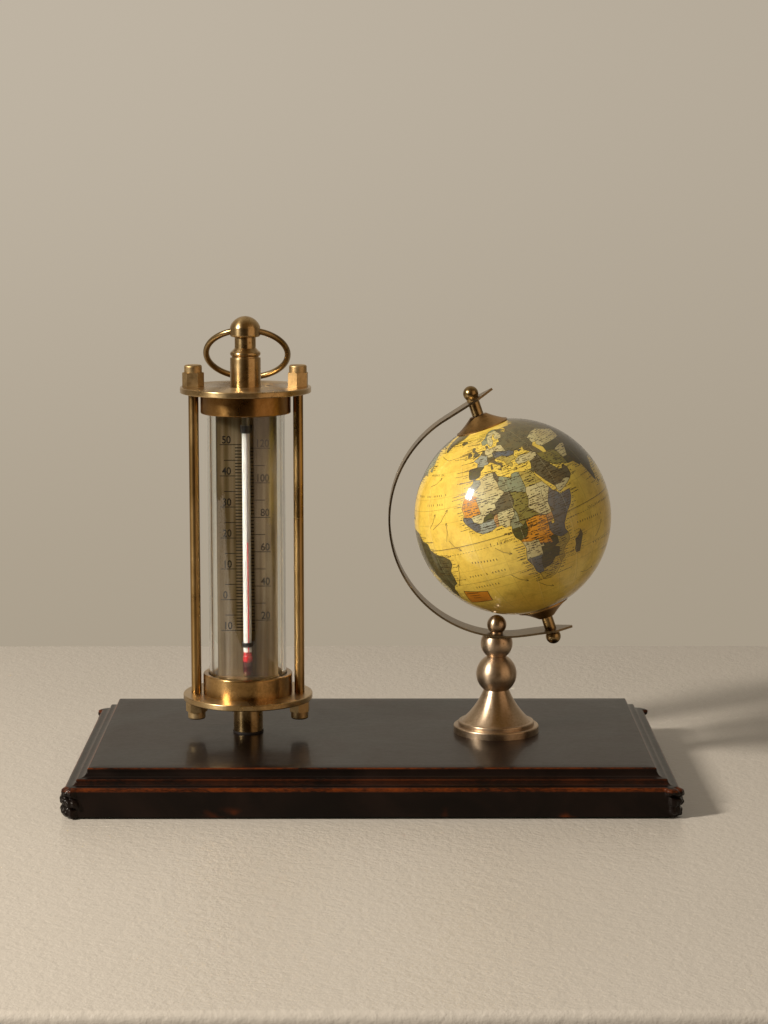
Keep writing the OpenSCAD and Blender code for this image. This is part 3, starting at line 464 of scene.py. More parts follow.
# The map: outlines of a plain old-style world map, in degrees of longitude and latitude in turn
LAND = """
africa -6 36 -2 35 3 37 10 37.3 11 34 15 32.3 19 30.3 20 32.5 23 32.8 29 31 32.5 31.2 33 28.5 34 27 35.5 24
37 20.5 38.5 18 40 15 43 12.5 43.5 11.3 51 11.8 50 8 47.5 4 44 1 41.5 -2 39.5 -5 39 -8 40.5 -11 40.7 -15 37
-17.8 35 -20 35.5 -24 32.8 -26 31 -29.5 28 -33 25.5 -34 20 -34.8 18.3 -34 17.5 -30 15 -26.5 14.3 -22.5 12
-18 12.5 -14 13.5 -11 13 -8.5 12 -5.5 9.5 -2.5 9 1 9.7 4 8.5 4.5 6 4.3 4.5 6.3 1 6 -2 4.8 -7.5 4.4 -11 6.5
-13.3 9 -16.5 12.5 -17.4 14.7 -16.2 17.5 -17 21 -15.5 24.5 -13 27.7 -10 30 -9.5 32.3 -7 34
eurasia -5.5 36 -9 37 -9.4 39 -8.8 43 -2 43.4 -1.2 46 -4.5 48.3 -1.5 49.5 2 51 5 53.5 8.5 54 8.3 57 10.5
57.5 11 54.2 14 54 19 54.5 21 57 24 57.2 24 59.4 29.5 60 23 60 21.3 61 21.5 63.5 25 65 22 65.7 17.5 62 18.5
60 16.5 57 14 55.4 12.8 55.6 11 59 8 58 5.2 59 5 62 10 64 14 67.5 19 70 26 71 31 70.3 38 68.5 41 66.7 34
66.5 38 64 44 66.5 44 68.5 54 68.5 60 69.5 68 69 67 72.5 72 73 73 68 75 72.5 81 73.5 87 75 104 77.7 113 74
128 72.5 140 72.7 152 71 170 70 179.9 69 179.9 65 178 62.5 170 60 163 58 162 55 157 51 156 57 163 61.5 157
61.5 150 59.5 142 59 136 54.5 141 52.5 140 48 135 43.5 131 42.5 127.5 40 129.4 37 129 35.2 126.5 34.5 126.5
37.5 124.5 40 121.5 39 121.5 41 118 39 119 37.3 122.5 37 119.3 35 121.8 31.5 121.5 28.5 118.5 24.5 114 22.3
110.3 21.3 108 21.5 106 19 109.2 13 107 10.5 105 8.7 104.8 10.5 102.5 12 100.9 13.4 99.3 10.5 100.5 7 103.3
4 104 1.3 101.3 3 98.5 8 98.5 12 97.5 16.5 94.5 16 92.3 21 90 22 87 21.5 85 19.5 80.3 15.5 80 12 78 8.2 76.3
10 74.5 14.5 72.8 19 72.5 21.3 70.3 21 69 22.3 67 24.8 61.5 25.1 57 26.8 51.5 27.8 48.5 30 48 29.5 50 26.7
51.5 24.6 54 24.1 56.3 26.2 58.6 23.7 57.8 19 55 17 52 15.5 45 12.8 43.4 12.7 42.7 16.5 39 21.3 35 28 34.8
29.4 34.3 28 32.6 29.8 32.7 31.1 34.4 31.4 36 34.5 36 36.8 32 36.1 30.5 36.6 27.5 36.8 26.5 39.3 29 41 33 42
38 41 41.5 41.6 38 44.4 39 47 35 46.3 36.5 45.3 33.5 44.5 33 46.1 30.5 46.2 28 43.5 28.5 41.3 26 40.8 23.5
40.3 24 38 22.7 36.6 21.2 38 19.5 40.5 19.4 42 15 44.5 13.6 45.5 12.4 44.7 14 42.5 16 41.8 18.4 40 16.9 40.5
17 39 15.8 38 15.5 40 12.3 41.8 10.3 43.5 8.5 44.3 6.5 43.2 3.5 43.3 3 41.8 0 40 -0.5 37.8 -2 36.7
britain -5.5 50 -3 51.2 -5 52 -4.3 53.2 -3 54 -5 55 -6 57 -5 58.6 -3.2 58.5 -2 57.6 -3 56 -1.5 55 0.2 53 1.7
52.7 1 51.2 -2 50.6
ireland -10 51.6 -6.2 52.2 -6 54 -8 55.2 -10 54  iceland -24 65.5 -22 64 -18.5 63.4 -14 65 -16 66.4 -22 66.4
sicily 12.5 38 15.5 38.2 15 36.7  sardinia 8.3 39 9.7 39.2 9.5 42.8 8.3 41  crete 23.6 35.5 26.2 35.2 24.8
34.9  cyprus 32.5 35 34.3 35.5 33 34.6
madagascar 49.3 -12 50.5 -15.5 49 -19 47 -25 44 -25 43.3 -22 44.4 -19.5 44.3 -16.5 47 -15.3
ceylon 80 9.7 81.8 7.5 80.3 6  honshu 131 34 136 33.6 140 35.2 141.5 39 141 41.3 139.8 38.5 136.5 37 133
35.5  hokkaido 140 42 143 42 145.3 43.5 141.8 45.3  kyushu 130 33.5 131.5 31.5 132 33.5  formosa 120.2 23
121.5 25.2 121 22  hainan 109 19.5 111 20 110 18.3  luzon 120.5 18.5 122 18.3 121.5 14.5 124 13 120.5 14
mindanao 122 7.5 125.5 6 126.3 8.5 125.3 9.7  borneo 109 1.5 111.5 2.5 116.5 7 119 5 117.8 1 116 -3.5 114.5
-4 110.3 -2.8  sumatra 95.3 5.5 98 4 103.5 -1 106 -5.8 104.5 -5.8 100 -1.5  java 105.3 -6.8 108.5 -6.6 112.5
-6.9 114.5 -8.5 110 -8  celebes 119.5 -5.5 120.5 -3 119 0.5 124.8 1.3 121 0.3 123 -1 121 -2 122.5 -5
new_guinea 131 -1 134 -0.8 135 -3.3 138 -1.6 144 -4 147.5 -6 150.5 -10.5 147 -9.5 143 -9 138 -8.3 138 -5.5
133 -4
australia 113.7 -22.5 114 -26.5 115.7 -32 115.2 -34.3 118 -35 123.5 -34 126 -32.3 131 -31.5 134.5 -33 136
-35 138 -33.5 138 -35.5 140 -38 144 -38.5 146.3 -39 150 -37.3 151.3 -33.5 153.3 -29 153 -25.5 150.8 -23 147
-19.3 145.5 -15 142.6 -11 141 -17 137 -15.8 136.8 -12.2 132.5 -11.5 129.5 -15 126 -14.2 122 -18 118 -20.3
tasmania 144.8 -40.8 148.2 -41 147 -43.5  nz_north 173 -34.5 175.5 -37 178.3 -37.8 176.8 -40 175 -41.5 174
-39.3  nz_south 172.7 -40.6 174.2 -41.8 171 -44.5 170.5 -46 166.6 -46 168.5 -44
north_america -168 65.7 -162 63.5 -165 60.5 -158 58.5 -153 58.8 -151 61 -146 60.8 -139 59.7 -133 56 -130 54
-124 48.5 -124 43 -124.3 40.3 -120.7 34.6 -117 32.5 -112 26 -109.7 23 -112 28.5 -114.7 31.5 -109 26 -105.5
21 -102 18 -95 16 -91 14 -87.5 13 -85.7 10.5 -83 8.3 -80 7.5 -77.6 7.8 -79.5 9.5 -83 10.5 -83.3 15 -88.3
15.8 -88 18.5 -87 21.4 -90.3 21 -91 18.7 -95 18.5 -97.7 22.5 -97.2 27.5 -94 29.5 -89.5 29.2 -85 29.8 -82.7
28.5 -81.2 25.3 -80.2 26.5 -81.3 30.5 -76 35 -75.5 38 -74 40.5 -70 41.7 -70.5 43.3 -66 44.5 -61 45.7 -65
48.5 -60 50 -56 52 -61.5 57 -65 60 -70 61 -78 62.3 -77 57 -80 51.5 -82.5 55 -88 56.5 -94 58.8 -94 61.5 -87
64.5 -86 67.5 -82 69 -95 71.5 -96 68.5 -109 68 -115 68.5 -125 70 -135 69 -141 69.7 -156 71.3 -166 68.5
greenland -73 78 -68 76 -58 75.5 -54 70 -52 65 -47 60.8 -43 60 -40 65 -25 70 -20 75 -17 80 -30 83.3 -60 82
baffin -62 66 -68 63 -74 64.5 -73 68 -80 70 -88 73 -78 73 -68 70  ellesmere -90 76.5 -78 77 -70 82.5 -90
81.5  victoria -117 71 -105 69 -104 73  newfoundland -59 47.7 -53 46.8 -55.5 51.4  cuba -85 22 -80 23.2
-74.3 20.2 -77.5 19.9  hispaniola -74 18.3 -72.5 20 -68.4 18.5
south_america -77.5 7.8 -75.5 10.7 -71.7 12.3 -71.5 10.8 -68 12 -62 10.7 -60 8.5 -57 6 -51.5 4.5 -50 0.5 -44
-2.5 -38.5 -3.8 -35 -6 -35 -9 -39 -13 -39.5 -18 -41 -22 -45 -23.3 -48.5 -26 -48.8 -28.5 -52.2 -32.5 -55
-34.9 -58.3 -34 -57 -36.5 -58 -38.3 -62 -39 -65 -41 -63.8 -42.5 -67 -45.5 -65.8 -47.5 -69 -51 -68.3 -53
-65.5 -55 -70 -55.3 -74 -52.5 -75.5 -47 -73.5 -42 -73.5 -37 -71.5 -32.5 -70.3 -18.5 -76 -14 -79.5 -7.5 -81.3
-5 -80 -2.5 -80 0.5 -77.5 3 -77.4 6.5
antarctica -179.9 -78 -160 -77 -135 -74 -105 -73 -75 -73 -62 -65 -60 -73 -35 -77.5 -10 -71 15 -69.5 50 -66.5
80 -68 110 -66 140 -66.5 165 -71 170 -77 179.9 -78 179.9 -88 -179.9 -88
"""
SEAS = """
caspian 47 45 50 46.8 53 46.5 51 44.5 54 41 53 37 50 37.5 49 40.5  victoria_lake 31.8 -0.6 34 0 33.5 -2.4 32
-2.4
"""
REGIONS = """
morocco -11 37 -2 36 -1.5 32.5 -5 30 -8.7 28.7 -8.7 27.6 -15 27.6 -15 32  west_sahara -19 27.6 -8.7 27.6
-8.7 26 -12 26 -12 23.4 -13 21.3 -19 21.3
mauritania -18.5 21.3 -13 21.3 -12 23.4 -12 26 -8.7 26 -8.7 27.3 -4.8 25 -6.5 25 -5.5 15.5 -9 15.4 -12 15
-17.5 16.3
mali -4.8 25 -6.5 25 -5.5 15.5 -9 15.4 -12 15 -11 12.3 -8 10.2 -5.5 10.5 -4 13.3 0 15 4.2 16.3 4.2 19 1.5 21
algeria -2 36 -1.5 32.5 -5 30 -8.7 28.7 -8.7 27.3 -4.8 25 1.5 21 4.2 19 12 23.5 9.5 26.5 9.5 30.2 8 34 8.5
38 3 38
tunisia 8.5 38 8 34 9.5 30.2 11.5 33.2 12 38  libya 9.5 30.2 9.5 26.5 12 23.5 15 23 24 19.5 25 22 25 33.5 20
34 11.5 33.2  egypt 25 33.5 25 22 37.5 22 34 28 33 31.8 29 33  niger 4.2 19 4.2 16.3 1 15 2 12.5 4 13.5 13.5
13.7 15.5 17 15 23 12 23.5  chad 15 23 24 19.5 24 15.5 22 11 15 7.5 15 10 13.5 13.7 15.5 17
sudan 25 22 37.5 22 39 18 36.5 14.3 34 10 34 4 30.5 3.5 27.5 5 24 8.7 22 11 24 15.5 24 19.5
ethiopia 36.5 14.3 39 18 43.2 12.6 42 11 44 9 48 8 45 5 42 4 36 4.5 34 8 34 10  somalia 42 11 44 9 48 8 45 5
42 4 41 -1.8 47 0 53 12 44 13  kenya 34 4 36 4.5 42 4 41 -1.8 40.5 -5 39.3 -5 34 -1  uganda 30 3.7 34 4 34
-1 30 -1  tanzania 30 -1 34 -1 39.3 -5 42 -6 42 -10.5 35 -11.5 31 -8.5 29.5 -5
congo 18 4.3 24 5.2 30.5 3.7 30 -1 29.5 -5 31 -8.5 28.5 -9 29.5 -13 25 -11.5 22 -11 21.5 -7.5 17 -7.8 11
-5.8 16 -4 18 0
central 15 7.5 22 11 24 8.7 27.5 5 24 5.2 18 4.3 16 2.3 14.5 5  cameroon 8.5 3.5 10 7 13.5 10 14.2 13 15 10
15 7.5 14.5 5 16 2.3 8 2.3  nigeria 2.8 5 4 13.5 13.5 13.7 13.5 10 10 7 8.5 3  gabon 8 2.3 16 2.3 18 4.3 18
0 16 -4 11 -5.8 7 -1  angola 11 -5.8 17 -7.8 21.5 -7.5 22 -11 24 -11 24 -13 22 -13 22 -17.6 10 -17.3 10 -10
zambia 24 -11 25 -11.5 29.5 -13 28.5 -9 31 -8.5 33 -10 33 -14 30 -15.5 27 -18 22 -17.6 22 -13 24 -13
mozambique 33 -10 35 -11.5 42 -10.5 42 -16 36.5 -19 37 -25 33 -27.5 32 -26 31.5 -22 33 -17 30 -15.5 33 -14
zimbabwe 27 -18 30 -15.5 33 -17 31.5 -22 29 -22 26 -20  botswana 20 -22 21 -18 25 -17.8 26 -20 29 -22 25.5
-25.5 20.5 -26.8 20 -24.8  namibia 10 -17.3 22 -17.6 25 -17.8 21 -18 20 -22 20 -28.5 17 -29 14 -29 10 -20
south_africa 16 -29 20 -28.5 20 -24.8 20.5 -26.8 25.5 -25.5 29 -22 31.5 -22 32 -26 33.5 -27.5 30 -36 16 -36
guinea -19 16.3 -12 15 -11 12.3 -8 10.2 -8 7.5 -12 5.5 -16 8 -19 13  ivory -8 10.2 -5.5 10.5 -3 11 1 11 1.5
5 -2 3.5 -8 3.5 -12 5.5 -8 7.5  burkina -5.5 10.5 -4 13.3 0 15 2 12.5 1 11 -3 11  dahomey 1 11 2 12.5 4 13.5
2.8 5 1.5 5  portugal -10 42 -7 42 -7 37 -10 36.5  spain -10 44.5 -1.5 43.5 3.5 42.4 4 40 -1 36 -6 35.6 -7
37 -7 42 -10 42  france -6 48 -1.5 43.5 3.5 42.4 7.5 43 7 46 8 49 2.5 51.3 -2 50.2  germany 7 47.5 8 49 6 51
7 53.8 9 55 14.3 54.5 15 51 12.5 50 13 47.7  italy 7.5 43 7 46 13.5 46.7 13.6 45.3 20 40 15 36.5 9 43
balkans 13.6 46 20 46 22.5 44.2 28.9 44 28.5 41 22 34.5 19 40.5 14 44.5  hungary 13 47.7 12.5 50 18 50 24 48
27 48 30 46 28.9 44 22.5 44.2 20 46 13.6 46 13.5 46.7  poland 14.3 54.5 15 51 18 50 24 48.5 23.5 54 19 55.3
norway 4 58 11.5 58.8 12.5 64 18 68.8 28 69 31 69.7 31 72 16 71 2 62  sweden 11.5 58.8 12 55 17 54.9 19.5 60
18 62.5 24.2 65.7 21 69 18 68.8 12.5 64  finland 21 59.5 28 60 31 63 29 69 21 69 24.2 65.7 20.5 62  turkey
25.5 36 36 35.8 42.5 37 44.8 39.5 41.5 41.8 35 42.8 28.5 41.2 26 40  syria 35.5 31 39 32.3 42.3 37.2 36 37
34.5 33  iraq 39 32.3 46.5 29 48.6 29.9 45.5 34 44.8 37.3 42.3 37.2  arabia 34.6 29.5 39 32.3 46.5 29 49 29
52 24 55 20 52 19 47 17 43 17 38 20 34 27  yemen 43 17 47 17 52 19 55.5 17 50 12.5 43 12  oman 52 24 57 27
61 23 57 16 55.5 17 52 19 55 20  persia 44.8 39.5 48 38.4 54 37.3 61 36.5 61.5 25 57 25 48.6 29.9 45.5 34
44.8 37.3  afghan 61 36.5 66 37.3 71.5 38 74.8 37 69.5 33 66 29.5 61 29.7  pakistan 61.5 25 61 29.7 66 29.5
69.5 33 74.8 37 75 32 70.5 28 70 24.5 68 23 63 24
india 68 23 70 24.5 70.5 28 75 32 78.5 34.5 78.5 31 81 30 88 27 92 27.5 97 28 94 24 92 21.5 88 20 78 5 70 18
kazakh 49 42 50 51.5 60 54.5 70 55 80 51 87 49 80 42.3 70 42 55 42  turkmen 52 37 54 42 70 42 80 42.3 74.8
37 71.5 38 66 37.3 61 36.5 54 37.3  mongolia 88 49 98 52 116 50 120 47 112 43.5 100 42 91 45
china 74.8 37 80 42.3 87 49 91 45 100 42 112 43.5 120 47 120 53 127 50 131 47.5 131 42.5 124 40 124 30 116
21 108 21 102 22 98 24 97 28 88 27.5 81 30 78.5 31 78.5 34.5
burma 92 21.5 94 24 97 28 98 24 101 21 97.5 18 99 12 94 15  siam 97.5 18 101 21 104 17.5 105 14.5 102 12 99
6 97.5 9 99 12  indochina 101 21 102 22 108 21.5 110 12 105 8 102.5 12 105 14.5 104 17.5  korea 124 40 130
42.5 131 36 126 33.5  alaska -170 72 -141 71 -141 60 -130 54 -170 53
canada -141 71 -141 60 -130 54 -123 49 -95 49 -83 46 -79 43 -75 45 -67 47 -66 44 -52 46 -60 62 -60 70 -100
74
mexico -117.5 32.5 -106.5 31.8 -101 29.5 -97 26 -97 20 -86 22 -90 17.5 -92 14 -106 17 -116 27
central_america -92 14 -90 17.5 -86 20 -82 15 -77 9 -80 6
brazil -60 5 -52 4.5 -48 2 -32 -6 -38 -22 -53 -34 -57.5 -30 -54 -25.5 -58 -20 -60 -13.5 -65 -10 -73 -9.5 -70
-4 -69.5 1 -64 4
argentina -58 -20 -54 -25.5 -57.5 -30 -53 -34 -60 -40 -64 -48 -66 -56 -72.5 -50 -70 -33 -67 -22.5 -62.5 -22
chile -78 -18 -69 -18 -67 -22.5 -70 -33 -72.5 -50 -66 -56 -78 -56  peru -82 -3 -75 0 -70 -4 -73 -9.5 -69
-12.5 -69 -18 -78 -18 -83 -8  bolivia -69 -12.5 -65 -10 -60 -13.5 -58 -20 -62.5 -22 -67 -22.5 -69 -18
colombia -80 1 -77 9 -71 13 -72 8 -67 6 -69.5 1 -70 -4 -75 0  venezuela -72 8 -71 13 -60 11 -60 5 -64 4 -67
6  west_australia 129 -10 129 -36 112 -36 112 -20  queensland 138 -10 138 -26 141 -29 155 -29 150 -10
victoria_land 141 -29 141 -40 152 -40 155 -29  ussr_east 87 49 98 52 116 50 120 53 131 47.5 140 45 180 60
180 72 100 79 90 75 85 60
"""
RIVERS = """
nile 31 31 31 27 33 25 32 21 33.5 18 32.5 15.5 32 10 31 5 31.5 2 33 0  niger 6 5 6.5 8 4.5 12 1 14 -3 17 -5
14 -9 11  senegal -16.5 16 -14 16.5 -12 14.5 -11 12  congo 12.5 -6 16 -4 18 -1 19 2 22 2.2 25 1 25.5 -4 27
-8 27 -11  zambezi 36 -18.8 34 -17.5 30.5 -15.6 28 -16.5 26 -18 24 -17 23 -14 24 -12  orange 16.5 -28.6 20
-28.5 24 -29.5 28 -30  danube 29.5 45.2 26 44 20 45 19 48 14 48.5 9 48  volga 48 46 45.5 48.5 47 51.5 49.5
54 44 56.5 36 57  rhine 4.5 52 7 51 8 49 8 47.5  tigris 48 30 45 32.5 43.5 36 41 38  amazon -50 0 -55 -2 -60
-3 -66 -3 -72 -4 -76 -5  indus 67.5 24 69 28 72 32 75 34.5  ganges 89 22.5 88 25 82 26 78 29
"""
# Arrows and rows of ticks, by the places of their two ends
ARROWS = """
-47.1 37.8 -34.7 42.2  -45.2 13.6 -38.8 21.4  -42.4 12.6 -27.7 22.6  -32.5 5 -30 15.5  -30.7 5.2 -23.9 -1.9
-3.5 -5 4.7 -11.2  -0.9 -23.7 8.2 -31.6  14.7 -35.7 24.9 -42.5  62.1 -21 70.2 -13.1  49.4 -40.8 64 -41.5
-48.2 57.5 -17.5 54.2  -40.6 -24 -30.4 -9.5  -95 20 -80 5  -150 10 -130 20  160 -20 175 -8  90 -25 105 -30
-110 -30 -90 -38
"""
OCEAN_ROWS = """
-62 32.4 -27 31.3  -47 26.9 -30 26.1  -20.2 -10.3 -3.1 -12.1  -26.5 -18.7 -0.9 -19.4  -27.2 -26.8 -4.7 -27.3
59.3 -2.6 84.1 -4  46.3 -7.6 72.4 -9.8  -7.3 -2.1 7.1 -4  -170 20 -130 18  -160 8 -135 6  -140 -20 -100 -22
-130 -31 -100 -32  145 25 175 22  60 -24 95 -26  70 -32 90 -33  -50 45 -32 44
"""
# The colour of each group of regions, as a print of about 1900 has it
PAINT = {
    "cream": (
        rgb(204, 190, 134),
        "nigeria sweden finland algeria mali sudan angola turkey kazakh germany poland afghan mexico "
        "argentina yemen"),
    "slate": (rgb(100, 103, 102), "ethiopia somalia kenya tanzania namibia guinea hungary siam"),
    "olive": (rgb(134, 124, 62), "chad central burma persia colombia queensland peru"),
    "dark olive": (
        rgb(88, 84, 54),
        "zambia botswana zimbabwe spain turkmen pakistan india china brazil indochina"),
    "orange": (rgb(216, 146, 42), "mauritania west_sahara congo"),
    "grey green": (rgb(140, 144, 110), "libya cameroon norway canada west_australia korea"),
    "pale blue": (rgb(154, 156, 136), "morocco france ivory chile"),
    "brown grey": (rgb(104, 95, 68), "tunisia niger italy oman iraq arabia syria venezuela alaska"),
    "olive yellow": (rgb(184, 163, 82), "egypt balkans mozambique victoria_land central_america"),
    "yellow": (rgb(206, 176, 80), "south_africa bolivia"),
    "umber": (rgb(98, 91, 66), "ussr_east mongolia"),
    "dark green": (rgb(84, 84, 44), "gabon portugal burkina"),
    "pink": (rgb(190, 146, 92), "uganda dahomey"),
}
SEA_TINT, LAND_TINT = rgb(236, 202, 86), rgb(106, 99, 68)
CARTOUCHE_TINT = rgb(206, 132, 36)
CARTOUCHE = [(-40.8, -28.3), (-21.7, -31.2), (-24.1, -39.3), (-47.3, -39.2)]
# The longitude in front, the latitude where the map ends under the polar caps, and the mesh's step
FACING, POLE_EDGE, GRID = 12, 87.2, 3
GLOBE_R, BALL_WALL = 50.3 * MM, 2 * MM
globe_frame = Matrix.Translation(GLOBE) @ Matrix.Rotation(-TILT, 4, "Y")


def outlines(text):
    """Outlines by name, from text that gives each name and then longitude and latitude in turn."""
    found = {}
    for word in text.split():
        if word[0].isalpha():
            numbers = found[word] = []
        else:
            numbers.append(float(word))
    return {name: [(lon, max(-POLE_EDGE, min(POLE_EDGE, lat)))
                   for lon, lat in zip(numbers[::2], numbers[1::2])]
            for name, numbers in found.items()}


land, seas, regions, rivers = [outlines(text) for text in (LAND, SEAS, REGIONS, RIVERS)]


def on_ball(lon, lat, radius=GLOBE_R):
    a, b = math.radians(lon - FACING), math.radians(lat)
    return globe_frame @ Vector((radius * math.cos(b) * math.sin(a),
                                 -radius * math.cos(b) * math.cos(a), radius * math.sin(b)))


def inside(polygon, lon, lat):
    """Which of the places lie in the polygon (arrays of longitude and latitude)."""
    hit = np.zeros(len(lon), bool)
    for (x1, y1), (x2, y2) in zip(polygon, polygon[1:] + polygon[:1]):
        if y1 != y2:
            crosses = (lat < y1) != (lat < y2)
            hit ^= crosses & (lon < x1 + (lat - y1) * (x2 - x1) / (y2 - y1))
    return hit


def on_land(lon, lat):
    hit = np.zeros(len(lon), bool)
    for polygon in land.values():
        hit |= inside(polygon, lon, lat)
    for polygon in seas.values():
        hit &= ~inside(polygon, lon, lat)
    return hit


def subdivide(line, step):
    """The line with extra points so that none of its parts is longer than step degrees."""
    points = [line[0]]
    for (x1, y1), (x2, y2) in zip(line, line[1:]):
        parts = max(1, math.ceil(math.hypot(x2 - x1, y2 - y1) / step))
        points += [(x1 + (x2 - x1) * i / parts, y1 + (y2 - y1) * i / parts)
                   for i in range(1, parts + 1)]
    return points


def paint_of(lon, lat):
    """The tint of every place, as an array of linear colours."""
    tint_of = {region: tint for tint, names in PAINT.values() for region in names.split()}
    colours = np.tile(SEA_TINT, (len(lon), 1))
    left = on_land(lon, lat)
    colours[left] = LAND_TINT
    for name, polygon in regions.items():
        hit = left & inside(polygon, lon, lat)
        colours[hit] = tint_of[name]
        left &= ~hit
    colours[inside(CARTOUCHE, lon, lat)] = CARTOUCHE_TINT
    return colours


def map_mesh():
    """Flat triangles over the whole map that follow every outline."""
    points, edges = [], []

    def fence(line):
        line = subdivide(line, GRID)
        first = len(points)
        points.extend(line)
        edges.extend((i, i + 1) for i in range(first, first + len(line) - 1))

    frame_round = [(-180, -POLE_EDGE), (180, -POLE_EDGE), (180, POLE_EDGE), (-180, POLE_EDGE)]
    for polygon in [*land.values(), *seas.values(), *regions.values(), CARTOUCHE, frame_round]:
        fence(polygon + polygon[:1])
    fence([(-180, 0), (180, 0)])
    for lat in [-POLE_EDGE, *range(-84, 85, GRID), POLE_EDGE]:
        stride = GRID * (1 if abs(lat) < 60 else 2 if abs(lat) < 80 else 3)
        points.extend((lon, lat) for lon in range(-180, 181, stride))
    made = geometry.delaunay_2d_cdt([Vector(p) for p in points], edges, [], 0, 1e-4)
    return np.array([tuple(p) for p in made[0]]), np.array(made[2])


places, triangles = map_mesh()
middles = places[triangles].mean(axis=1)
tints = paint_of(middles[:, 0], middles[:, 1])


def printed_map():
    """Varnished print: yellowed, faintly mottled, with graticule and gore seams by its UV."""
    square, gore = 15, 30
    sheet = Sheet("globe_print")
    spot = sheet.place()
    u, v, _ = sheet.axes(sheet.node("UVMap", {"uv_map": "map"}))
    tint = sheet.node("Attribute", {"attribute_name": "print"})
    age = sheet.noise(spot, 40, 4, 0.6)
    fibre = sheet.noise(spot, 900, 2)
    colour = sheet.mix(age.ease(0.3, 0.7, 0.0, 0.3), tint, rgb(214, 166, 74), "MULTIPLY")
    stains = sheet.noise(spot, 170, 4, 0.7).ease(0.42, 0.72, 0.0, 0.26)
    colour = sheet.mix(stains, colour, rgb(124, 88, 26))
    colour = sheet.mix(fibre.ease(0.4, 0.8, 0.0, 0.16), colour, rgb(134, 100, 36))
    longitude, latitude = u * 360, v * 180
    meridian = (longitude / square).to_whole().fall(0.004, 0.012)
    parallel = (latitude / square).to_whole().fall(0.005, 0.012)
    colour = sheet.mix(meridian.most(parallel) * 0.3, colour, rgb(110, 84, 36))
    seam = ((longitude - 14) / gore).to_whole()
    colour = sheet.mix(seam.ease(0.003, 0.007, 0.22, 0.0), colour, rgb(240, 222, 160))
    lift = fibre * 0.2 + seam.fall(0.002, 0.012)
    return sheet.surface(Base_Color=colour, Roughness=0.42 + 0.1 * age, Coat_Weight=0.75,
                         Coat_Roughness=0.09, Coat_IOR=1.5, Specular_IOR_Level=0.2,
                         Normal=sheet.bump(lift, 0.00004, 0.4))


def half_globe(name, north, node, material):
    """One half of the ball: the printed outside, the inside a wall's thickness below, and the rims."""
    chosen = (middles[:, 1] > 0) == north
    corners = triangles[chosen]
    used, index = np.unique(corners, return_inverse=True)
    mesh = bpy.data.meshes.new(name)
    mesh.from_pydata([tuple(on_ball(*places[v])) for v in used], [], index.reshape(-1, 3).tolist())
    shades = np.column_stack((tints[chosen], np.ones(len(corners))))
    tint = mesh.attributes.new("print", "FLOAT_COLOR", "CORNER")
    tint.data.foreach_set("color", np.repeat(shades, 3, axis=0).ravel())
    uv = mesh.uv_layers.new(name="map")
    uv.data.foreach_set("uv", ((places[corners] + (180, 90)) / (360, 180)).ravel())
    obj = new_piece(name, mesh, material)
    bpy.ops.object.mode_set(mode="EDIT")
    bpy.ops.mesh.select_all(action="SELECT")
    bpy.ops.mesh.remove_doubles(threshold=2e-6)
    bpy.ops.mesh.normals_make_consistent(inside=False)
    bpy.ops.object.mode_set(mode="OBJECT")
    thick = obj.modifiers.new("thick", "SOLIDIFY")
    thick.thickness, thick.offset = BALL_WALL, -1
    bpy.ops.object.modifier_apply(modifier="thick")
    mesh.polygons.foreach_set("use_smooth", [True] * len(mesh.polygons))
    # The two shells are shaded as true spheres, and the rims flat
    normals = []
    for face in mesh.polygons:
        facing = face.normal.dot((face.center - GLOBE).normalized())
        for v in face.vertices:
            straight = (mesh.vertices[v].co - GLOBE).normalized() * (1 if facing > 0 else -1)
            normals.append(tuple(straight if abs(facing) > 0.9 else face.normal))
    mesh.normals_split_custom_set(normals)
    settle(obj, "globe", "globe_map", node)


varnished = printed_map()
half_globe("north_print", True, "north_half", varnished)
half_globe("south_print", False, "south_half", varnished)


class Ink:
    """Ribbons of printed line laid just proud of the ball."""

    def __init__(self):
        self.points, self.faces, self.done = [], [], set()

    def line(self, path, width, height=0.03 * MM):
        way = [on_ball(*p, GLOBE_R + height) for p in subdivide(path, 2)]
        first = len(self.points)
        for i, here in enumerate(way):
            along = way[min(i + 1, len(way) - 1)] - way[max(i - 1, 0)]
            aside = along.cross(here - GLOBE).normalized() * width / 2
            self.points += [here - aside, here + aside]
        self.faces += [(i, i + 1, i + 3, i + 2)
                       for i in range(first, first + 2 * len(way) - 2, 2)]

    def border(self, polygon, width):
        """A region's border where it runs over land, each stretch only once."""
        fine = subdivide(polygon + polygon[:1], 1.2)
        halfway = np.array([((a[0] + b[0]) / 2, (a[1] + b[1]) / 2) for a, b in zip(fine, fine[1:])])
        dry = on_land(halfway[:, 0], halfway[:, 1])
        for a, b, keep in zip(fine, fine[1:], dry):
            key = frozenset((tuple(np.round(a, 2)), tuple(np.round(b, 2))))
            if keep and key not in self.done:
                self.done.add(key)
                self.line([a, b], width)

    def words(self, lon, lat, length, width):
        """Short dashes in a row, as small print looks from afar."""
        start, end, slope = lon, lon + length, draw.uniform(-0.07, 0.07)
        while lon < end:
            stop = min(lon + draw.uniform(0.4, 1.7), end)
            self.line([(lon, lat + slope * (lon - start)), (stop, lat + slope * (stop - start))],
                      width * draw.uniform(0.7, 1.2))
            lon = stop + draw.uniform(0.2, 0.5)


def strokes(text):
    """The ends of straight strokes, each a longitude and latitude: x1, y1, x2 and y2."""
    return np.array(text.split(), float).reshape(-1, 4)


draw = random.Random(5)
ink = Ink()
LINE = 0.2 * MM
